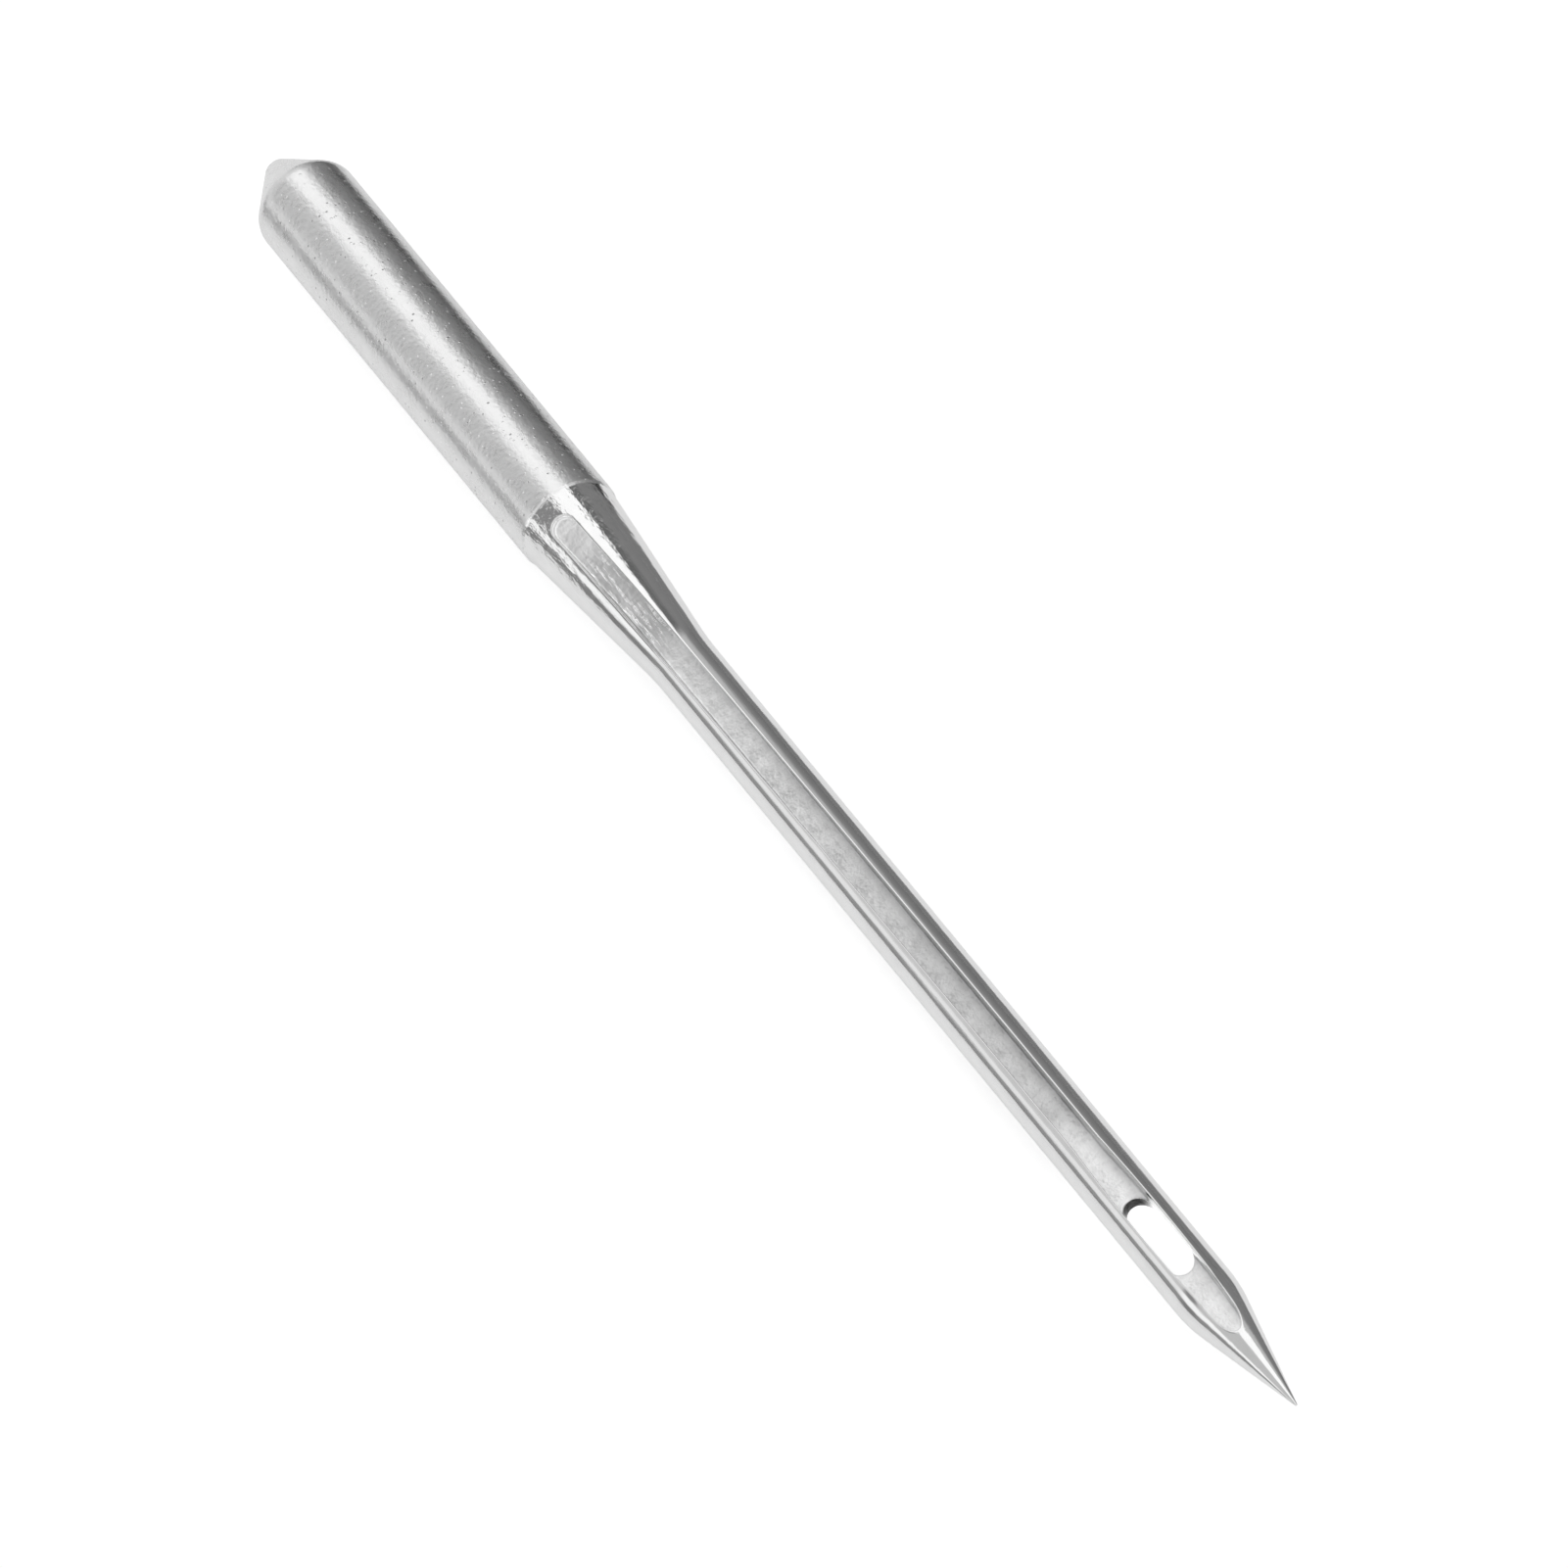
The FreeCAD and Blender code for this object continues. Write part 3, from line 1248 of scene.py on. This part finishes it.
@dataclass(frozen=True)
class NeedleSteel:
    """Plated steel: satin shank, rough-ground groove floors, mirror-bright blade.

    Places along the needle are in millimetres from the butt, and heights in millimetres. Near
    the shoulder the tool tore the short groove's floor, which the fields named torn_ describe.
    """

    places: Places
    satin: Finish = Finish(
        colour=0.78, colour_spread=0.16, roughness=0.28, roughness_spread=0.1,
        grain_height=0.008,
    )
    bright: Finish = Finish(
        colour=0.8, colour_spread=0.1, roughness=0.11, roughness_spread=0.06,
        grain_height=0.0016,
    )
    groove: Finish = Finish(
        colour=0.6, colour_spread=0.45, roughness=0.38, roughness_spread=0.2,
        grain_height=0.014,
    )
    fine: Pattern = Pattern(scale=11.0)
    mottle: Pattern = Pattern(scale=2.6, detail=5.0)
    streaks: Pattern = Pattern(detail=4.0, stretch=(0.45, 15.0, 15.0))
    streaks_share: float = 0.4
    plating_edge: Pattern = Pattern(scale=4.0, detail=2.0)
    plating_edge_wander: float = 0.3
    plating_edge_before: float = 0.06
    plating_edge_after: float = 0.02
    groove_start_colour: float = 0.92
    groove_start_full: float = 1.0
    groove_start_end: float = 26.0
    groove_end_colour: float = 0.82
    groove_end_start: float = 29.5
    groove_end_full: float = 31.0
    # Painted shade: the eye's end nearer the shank is painted near-black, fading into the wall's
    # grey.
    eye_end_painted_shade: float = 0.04
    eye_end_length: float = 0.1
    eye_wall_colour: float = 0.8
    eye_wall_start: float = 0.4
    eye_wall_roughness: float = 0.25
    pits: Spots = Spots(spacing=0.15, kept_share=0.45, radius=0.027, depth=0.006, shade=0.6)
    pit_roughness: float = 0.6
    # Raised bumps, lightened in colour: a painted glint where they catch the light.
    specks_and_painted_glints: Spots = Spots(spacing=0.11, kept_share=0.4, radius=0.026, depth=-0.006, shade=1.25)
    grinding: GrindingMarksWithPaintedHighlight = GrindingMarksWithPaintedHighlight()
    torn_where: Stretch = Stretch(13.3, 13.8, 14.9, 15.7)
    torn_pattern: Pattern = Pattern(stretch=(3.5, 8.0, 8.0))
    torn_height: float = 0.03
    waves: Pattern = Pattern(stretch=(4.0, 8.0, 8.0))
    wave_height: float = 0.014
    wave_full_to: float = 11.6
    wave_end: float = 15.0
    wave_rest: float = 0.08
    ripples: Pattern = Pattern(stretch=(5.0, 2.5, 2.5))
    ripple_height: float = 0.03

    def material(self) -> bpy.types.Material:
        """Builds the node material.

        Returns:
            The material, for the whole needle.
        """
        material, board = NodeBoard.for_material("needle_steel")
        nodes = SteelNodes(self, board)
        colour = nodes.colour()
        tint = board.add("ShaderNodeCombineColor", {0: colour, 1: colour, 2: colour})
        bump = {"Height": nodes.height(), "Strength": 1.0, "Distance": METRES_PER_MM}
        steel = {
            "Base Color": tint.outputs[0],
            "Metallic": 1.0,
            "Roughness": nodes.roughness(),
            "Normal": board.add("ShaderNodeBump", bump).outputs[0],
        }
        shader = board.add("ShaderNodeBsdfPrincipled", steel)
        board.add("ShaderNodeOutputMaterial", {0: shader.outputs[0]})
        return material


class SteelNodes:
    """The nodes of the needle's steel. Its sockets say where a point lies and what marks it."""

    def __init__(self, steel: NeedleSteel, board: NodeBoard) -> None:
        """Places the nodes that the colour, the roughness and the height share.

        Args:
            steel: The finishes and the marks.
            board: The material's node board.
        """
        self.steel = steel
        self.board = board
        position = board.add("ShaderNodeTexCoord").outputs["Object"]
        self.place = board.scaled(position, (1.0 / METRES_PER_MM,) * 3)
        axes = board.add("ShaderNodeSeparateXYZ", {0: self.place}).outputs
        self.along, self.upward = axes["X"], axes["Z"]
        groove = board.add("ShaderNodeAttribute", attribute_name="groove_share")
        eye = board.add("ShaderNodeAttribute", attribute_name="eye_share")
        self.groove = groove.outputs["Fac"]
        self.eye = board.step(eye.outputs["Fac"], EYE_WALL_FROM, 1.0)
        self.bright = self.polished()
        satin = board.math("SUBTRACT", 1.0, self.bright)
        self.pits = board.times(steel.pits.mask(board, self.place), satin)
        self.specks_and_painted_glints = board.times(steel.specks_and_painted_glints.mask(board, self.place), satin)
        ground = steel.grinding.where.share(board, self.along)
        self.ground = board.times(ground, self.groove)
        lines = steel.grinding.mask(board, self.place)
        self.lines = board.times(lines, self.ground)
        self.fine = steel.fine.draw(board, self.place)
        self.streaks = steel.streaks.draw(board, self.place)
        mottle = board.math("SUBTRACT", steel.mottle.draw(board, self.place), NOISE_MIDDLE)
        drawn = board.math("SUBTRACT", self.streaks, NOISE_MIDDLE)
        self.uneven = board.math("MULTIPLY_ADD", drawn, steel.streaks_share, mottle)

    def polished(self) -> Socket:
        """Border between the satin shank and the polish.

        Returns:
            0 on the satin plating and 1 on the polished metal.
        """
        steel, board = self.steel, self.board
        wander = steel.plating_edge.draw(board, self.place)
        wander = board.math("SUBTRACT", wander, NOISE_MIDDLE)
        edge = board.math("MULTIPLY_ADD", wander, steel.plating_edge_wander, self.along)
        border = steel.places.shank_length
        before, after = border - steel.plating_edge_before, border + steel.plating_edge_after
        return board.step(edge, before, after)

    def mixed(self, name: str) -> Socket:
        """One value of the three finishes, blended over the needle.

        Args:
            name: Name of the value.

        Returns:
            The blended value.
        """
        steel, board = self.steel, self.board
        value = board.blend(self.bright, getattr(steel.satin, name), getattr(steel.bright, name))
        return board.blend(self.groove, value, getattr(steel.groove, name))

    def colour(self) -> Socket:
        """Grey of the steel, with painted shade and painted glints.

        Returns:
            The grey, from 0 to 1.
        """
        steel, board = self.steel, self.board
        first_mm = steel.places.shank_length + steel.groove_start_full
        start = board.step(self.along, steel.groove_start_end, first_mm)
        start = board.times(start, self.groove)
        colour = board.blend(start, self.mixed("colour"), steel.groove_start_colour)
        end = board.step(self.along, steel.groove_end_start, steel.groove_end_full)
        end = board.times(end, self.groove)
        colour = board.blend(end, colour, steel.groove_end_colour)
        colour = board.math("MULTIPLY_ADD", self.uneven, self.mixed("colour_spread"), colour)
        # The bumps' lighter shade is a painted glint; the pits are darker.
        shades = (
            (self.pits, steel.pits.shade),
            (self.specks_and_painted_glints, steel.specks_and_painted_glints.shade),
            (self.ground, steel.grinding.dim),
        )
        for mask, shade in shades:
            colour = board.blend(mask, colour, board.times(colour, shade))
        # Painted highlight: the grinding lines are painted near white.
        colour = board.blend(self.lines, colour, steel.grinding.colour)
        # Painted shade in the eye: near-black at its end nearer the shank, the wall's own grey
        # further on.
        eye_top = steel.places.eye_top
        painted_shade_end, wall_start = eye_top + steel.eye_end_length, eye_top + steel.eye_wall_start
        beside_eye = board.step(self.along, painted_shade_end, wall_start)
        eye_colour_and_painted_shade = board.blend(beside_eye, steel.eye_end_painted_shade, steel.eye_wall_colour)
        return board.blend(self.eye, colour, eye_colour_and_painted_shade)

    def roughness(self) -> Socket:
        """Roughness of the steel.

        Returns:
            The roughness, from 0 to 1.
        """
        steel, board = self.steel, self.board
        spread = self.mixed("roughness_spread")
        roughness = board.math("MULTIPLY_ADD", self.uneven, spread, self.mixed("roughness"))
        roughness = board.blend(self.pits, roughness, steel.pit_roughness)
        shiny = board.times(roughness, steel.grinding.shine)
        roughness = board.blend(self.lines, roughness, shiny)
        return board.blend(self.eye, roughness, steel.eye_wall_roughness)

    def height(self) -> Socket:
        """Fine relief of the steel.

        Returns:
            The height in millimetres.
        """
        steel, board = self.steel, self.board
        grain = board.blend(self.bright, self.fine, self.streaks)
        grain = board.blend(self.groove, grain, self.fine)
        height = board.times(grain, self.mixed("grain_height"))
        depths = (
            (self.pits, steel.pits.depth),
            (self.specks_and_painted_glints, steel.specks_and_painted_glints.depth),
            (self.lines, steel.grinding.height),
        )
        for mask, depth in depths:
            height = board.math("MULTIPLY_ADD", mask, -depth, height)
        height = board.math("ADD", height, self.shoulder_waves())
        return board.math("ADD", height, self.groove_texture())

    def shoulder_waves(self) -> Socket:
        """Small waves that the polishing left on the shoulder.

        Returns:
            Height of the waves, which fade out towards the blade.
        """
        steel, board = self.steel, self.board
        waves = steel.waves.draw(board, self.place)
        fade = board.step(self.along, steel.wave_end, steel.wave_full_to)
        fade = board.math("MAXIMUM", fade, steel.wave_rest)
        share = board.times(fade, self.bright)
        share = board.times(share, steel.wave_height)
        return board.times(waves, share)

    def groove_texture(self) -> Socket:
        """Faint ripples across the groove floors, and the torn patch on the under side.

        Returns:
            Height of the texture.
        """
        steel, board = self.steel, self.board
        ripples = steel.ripples.draw(board, self.place)
        ripples = board.times(ripples, steel.ripple_height)
        under = board.math("LESS_THAN", self.upward, 0.0)
        patch = board.times(steel.torn_where.share(board, self.along), under)
        patch = board.times(patch, steel.torn_height)
        lumps = steel.torn_pattern.draw(board, self.place)
        height = board.math("MULTIPLY_ADD", lumps, patch, ripples)
        return board.times(height, self.groove)


class CardStock(Enum):
    """What a card is made of: its grey and its glow."""

    GREY = (0.26, 0.0)
    BLACK = (0.012, 0.0)
    WHITE = (0.82, 1.0)


@dataclass(frozen=True)
class Card:
    """A card near the needle. Its far right corner may lie further in than the near one."""

    name: str
    stock: CardStock
    layer: int
    left: float
    right: float
    near: float
    far: float
    far_right: float

    def corners(self) -> Points:
        """(x, y) of its corners."""
        near_side = [(self.left, self.near), (self.right, self.near)]
        return near_side + [(self.far_right, self.far), (self.left, self.far)]


@dataclass
class Floor:
    """White paper on a white table, and the cards on them. Lengths are in metres.

    Only the metal mirrors the cards, which paint reflections. The dark ones paint dark flanks,
    and the white one glows under the eye and paints a bright reflection in its walls.
    """

    resting_height: float
    table_half_size: float = 3.0
    table_glow: float = 1.02
    table_glow_in_metal: float = 0.85
    paper_margin: float = 0.004
    paper_colour: float = 0.82
    paper_glow: float = 0.5
    paper_glow_in_metal: float = 0.2
    card_lift: float = 0.00004
    # Cards seen only in the metal: painted reflections, dark on the flanks and bright in the eye.
    cards: tuple[Card, ...] = (
        Card("grey_card_right", CardStock.GREY, layer=1, left=-0.6, right=0.045,
             near=0.0041, far=0.5, far_right=0.045),
        Card("grey_card_left", CardStock.GREY, layer=1, left=-0.6, right=0.045,
             near=-0.5, far=-0.018, far_right=0.045),
        Card("black_card", CardStock.BLACK, layer=2, left=-0.03, right=0.0097,
             near=0.0038, far=0.016, far_right=-0.001),
        Card("white_card", CardStock.WHITE, layer=2, left=0.0305, right=0.036,
             near=-0.0004, far=0.0004, far_right=0.036),
    )

    def build(self) -> None:
        """Lays the table, the paper under the needle and the cards."""
        size = self.table_half_size
        table = [(-size, -size), (size, -size), (size, size), (-size, size)]
        self.lay("table", table, -1, self.table_material())
        low, high = CAD_BOX
        left, right = low[0] - self.paper_margin, high[0] + self.paper_margin
        near, far = low[1] - self.paper_margin, high[1] + self.paper_margin
        paper = [(left, near), (right, near), (right, far), (left, far)]
        self.lay("paper", paper, 0, self.paper_material())
        materials = {stock: self.card_material(stock) for stock in CardStock}
        for card in self.cards:
            sheet = self.lay(card.name, card.corners(), card.layer, materials[card.stock])
            # Hidden from all but the metal: each card is a painted reflection.
            for rays in ("camera", "diffuse", "shadow", "transmission"):
                setattr(sheet, "visible_" + rays, False)

    def lay(
        self, name: str, corners: Points, layer: int, material: bpy.types.Material
    ) -> bpy.types.Object:
        """Lays one flat sheet.

        Args:
            name: Name of the sheet.
            corners: (x, y) of its corners.
            layer: How many lifts it lies above the paper.
            material: What it is made of.

        Returns:
            The sheet.
        """
        height = self.resting_height + layer * self.card_lift
        mesh = bmesh.new()
        mesh.faces.new([mesh.verts.new((x, y, height)) for x, y in corners])
        data = bpy.data.meshes.new(name + "_mesh")
        mesh.to_mesh(data)
        mesh.free()
        data.materials.append(material)
        sheet = put_in_scene(name, data)
        return sheet

    def table_material(self) -> bpy.types.Material:
        """Plain white to the camera, and pale in the metal.

        Returns:
            The material, which only glows and lights nothing.
        """
        material, board = NodeBoard.for_material("white_table")
        seen = self.seen(board, board.add("ShaderNodeLightPath"))
        self.matt_and_glow(board, 0.0, board.blend(seen, self.table_glow_in_metal, self.table_glow))
        material.cycles.emission_sampling = "NONE"
        return material

    def paper_material(self) -> bpy.types.Material:
        """White to the camera and in the metal, with the needle's shadow on it.

        Returns:
            The material, matt with a glow that lights nothing.
        """
        material, board = NodeBoard.for_material("white_paper")
        rays = board.add("ShaderNodeLightPath")
        seen = board.times(self.seen(board, rays), self.paper_glow)
        mirrored = board.times(rays.outputs["Is Glossy Ray"], self.paper_glow_in_metal)
        self.matt_and_glow(board, self.paper_colour, board.math("MAXIMUM", seen, mirrored))
        material.cycles.emission_sampling = "NONE"
        return material

    def card_material(self, stock: CardStock) -> bpy.types.Material:
        """Plain matt card of one grey, with a glow or none.

        Args:
            stock: What the card is made of.

        Returns:
            The material.
        """
        material, board = NodeBoard.for_material(stock.name.lower() + "_card")
        self.matt_and_glow(board, *stock.value)
        return material

    @staticmethod
    def seen(board: NodeBoard, rays: bpy.types.Node) -> Socket:
        """1 for the camera, also when it looks through something."""
        camera, through = rays.outputs["Is Camera Ray"], rays.outputs["Is Transmission Ray"]
        return board.math("MAXIMUM", camera, through)

    @staticmethod
    def matt_and_glow(board: NodeBoard, colour: float, glow: object) -> None:
        """Ends a sheet's material.

        Args:
            board: The material's node board.
            colour: Grey of the matt sheet, or 0 for one that only glows.
            glow: Strength of its white glow.
        """
        shader = board.add("ShaderNodeEmission", {"Color": WHITE, "Strength": glow}).outputs[0]
        if colour > 0.0:
            matt = board.add("ShaderNodeBsdfDiffuse", {"Color": (colour,) * 3 + (1.0,)})
            shader = board.add("ShaderNodeAddShader", {0: matt.outputs[0], 1: shader}).outputs[0]
        board.add("ShaderNodeOutputMaterial", {0: shader})


@dataclass(frozen=True)
class Softbox:
    """The wide soft lamp that hangs over the butt's side of the needle. Lengths in metres."""

    distance: float = 0.5
    width: float = 0.335
    length: float = 0.78
    back: float = 0.38
    tilt: float = 18.5
    level: float = 0.37

    def build(self) -> None:
        """Hangs the lamp."""
        data = bpy.data.lights.new("overhead_softbox", "AREA")
        data.shape = "RECTANGLE"
        data.size = self.length
        data.size_y = self.width
        data.energy = self.level * math.pi * self.length * self.width
        lamp = put_in_scene("overhead_softbox", data)
        tilt = math.radians(self.tilt)
        up = Vector((0.0, math.sin(tilt), math.cos(tilt)))
        lamp.location = needle_middle() + Vector((-self.back, 0.0, 0.0)) + up * self.distance
        lamp.rotation_euler = (-tilt, 0.0, 0.0)
        lamp.visible_camera = False


@dataclass(frozen=True)
class LightTent:
    """The pale tent round the needle, which has one dark side, away on +Y.

    Its levels are pairs of an angle round the needle, in degrees from straight up towards +Y,
    and a brightness. The shank and the blade mirror the straight levels, and the tapered
    shoulder and the point mirror the tapered ones. The other numbers but the levels and the
    gain say how far a direction points along the needle, from -1 at the butt to 1 at the tip.
    """

    straight_levels: Levels = (
        (-180.0, 0.85), (-93.0, 0.85), (-90.0, 0.33), (-79.0, 0.33), (-75.0, 0.92),
        (-62.0, 0.96), (-58.0, 0.68), (-12.0, 0.74), (0.0, 0.82), (36.0, 0.85),
        (40.0, 0.64), (54.0, 0.55), (61.0, 0.32), (68.0, 0.24), (95.0, 0.16),
        (130.0, 0.8), (180.0, 0.85),
    )
    tapered_levels: Levels = (
        (-180.0, 0.85), (-93.0, 0.85), (-90.0, 0.24), (-79.0, 0.24), (-75.0, 1.1),
        (-61.0, 1.15), (-57.0, 0.27), (-8.0, 0.27), (-3.0, 0.82), (36.0, 0.85),
        (39.5, 0.13), (52.0, 0.15), (62.0, 0.24), (95.0, 0.22), (130.0, 0.8),
        (180.0, 0.85),
    )
    straight_end: float = -0.62
    tapered_start: float = -0.56
    tapered_end: float = -0.45
    open_start: float = -0.38
    open_level: float = 0.62
    front_start: float = -0.2
    front_full: float = 0.3
    front_gain: float = 1.35
    wall_start: float = 0.82
    wall_full: float = 0.97
    wall_level: float = 0.8

    @staticmethod
    def levels(board: NodeBoard, turn: Socket, stops: Levels) -> Socket:
        """Brightness of the tent by the angle round the needle.

        Args:
            board: The world's node board.
            turn: The angle, as a share of a full turn.
            stops: (degrees, brightness) in order.

        Returns:
            The brightness.
        """
        ramp = board.add("ShaderNodeValToRGB", {0: turn})
        elements = ramp.color_ramp.elements
        while len(elements) > 1:
            elements.remove(elements[-1])
        for index, (degrees, level) in enumerate(stops):
            place = degrees / FULL_CIRCLE + 0.5
            stop = elements.new(place) if index else elements[0]
            stop.position = place
            stop.color = (level, level, level, 1.0)
        return board.add("ShaderNodeSeparateColor", {0: ramp.outputs[0]}).outputs[0]

    def build(self) -> None:
        """Puts the tent round the needle, as the scene's world."""
        world = bpy.data.worlds.new("light_tent")
        world.use_nodes = True
        bpy.context.scene.world = world
        board = NodeBoard(world.node_tree)
        direction = board.add("ShaderNodeTexCoord").outputs["Generated"]
        axes = board.add("ShaderNodeSeparateXYZ", {0: direction}).outputs
        length = axes["X"]
        angle = board.math("ARCTAN2", axes["Y"], axes["Z"])
        turn = board.math("MULTIPLY_ADD", angle, 1.0 / FULL_TURN, 0.5)
        straight = self.levels(board, turn, self.straight_levels)
        tapered = self.levels(board, turn, self.tapered_levels)
        share = board.step(length, self.straight_end, self.tapered_start)
        level = board.blend(share, straight, tapered)
        ahead = board.math("MINIMUM", straight, self.open_level)
        ahead = board.math("MAXIMUM", tapered, ahead)
        share = board.step(length, self.tapered_end, self.open_start)
        level = board.blend(share, level, ahead)
        front = board.step(length, self.front_start, self.front_full)
        level = board.times(level, board.blend(front, 1.0, self.front_gain))
        wall = board.step(board.math("ABSOLUTE", length), self.wall_start, self.wall_full)
        level = board.blend(wall, level, self.wall_level)
        shade = board.add("ShaderNodeBackground", {"Color": WHITE, "Strength": level})
        board.add("ShaderNodeOutputWorld", {0: shade.outputs[0]})


@dataclass(frozen=True)
class PictureCamera:
    """The camera, at the picture's angle and a little closer to this one needle.

    Lengths are in metres, but the sensor's in millimetres, and angles are in degrees.
    """

    distance: float = 1.2
    shift_along: float = 0.0001
    frame_width: float = 0.0285
    tilt_to_tip: float = 41.0
    roll_of_needle: float = 7.6
    lean_in_picture: float = 50.48
    sensor_width: float = 36.0
    clip_start: float = 0.01
    clip_end: float = 20.0

    def build(self) -> None:
        """Sets up the camera."""
        tilt = math.radians(self.tilt_to_tip)
        roll = math.radians(self.roll_of_needle)
        lean = math.radians(self.lean_in_picture)
        along = Vector((1.0, 0.0, 0.0))
        across = Vector((0.0, math.cos(roll), math.sin(roll)))
        back = Vector((
            math.sin(tilt),
            -math.cos(tilt) * math.sin(roll),
            math.cos(tilt) * math.cos(roll),
        ))
        axis = (along - back * math.sin(tilt)) / math.cos(tilt)
        right = axis * math.cos(lean) + across * math.sin(lean)
        up = across * math.cos(lean) - axis * math.sin(lean)
        data = bpy.data.cameras.new("picture_camera")
        data.sensor_width = self.sensor_width
        data.lens = self.sensor_width * self.distance / self.frame_width
        data.clip_start = self.clip_start
        data.clip_end = self.clip_end
        camera = put_in_scene("picture_camera", data)
        turn = Matrix((right, up, back)).transposed().to_4x4()
        place = needle_middle() + along * self.shift_along + back * self.distance
        camera.matrix_world = Matrix.Translation(place) @ turn
        bpy.context.scene.camera = camera


def needle_middle() -> Vector:
    """Middle of the needle's box, in metres."""
    low, high = CAD_BOX
    return (Vector(low) + Vector(high)) / 2.0


def main() -> None:
    """Builds the needle and its studio."""
    logging.basicConfig(level=logging.INFO, format="%(message)s")
    needle = Needle()
    piece = needle.build(NeedleSteel(needle.places).material())
    LOG.info("built %s", piece.name)
    resting_height = CAD_BOX[0][2]
    for thing in (Floor(resting_height), Softbox(), LightTent(), PictureCamera()):
        thing.build()
        LOG.info("set up %s", type(thing).__name__)
    bpy.context.scene.view_settings.view_transform = "Standard"


if __name__ == "__main__":
    main()
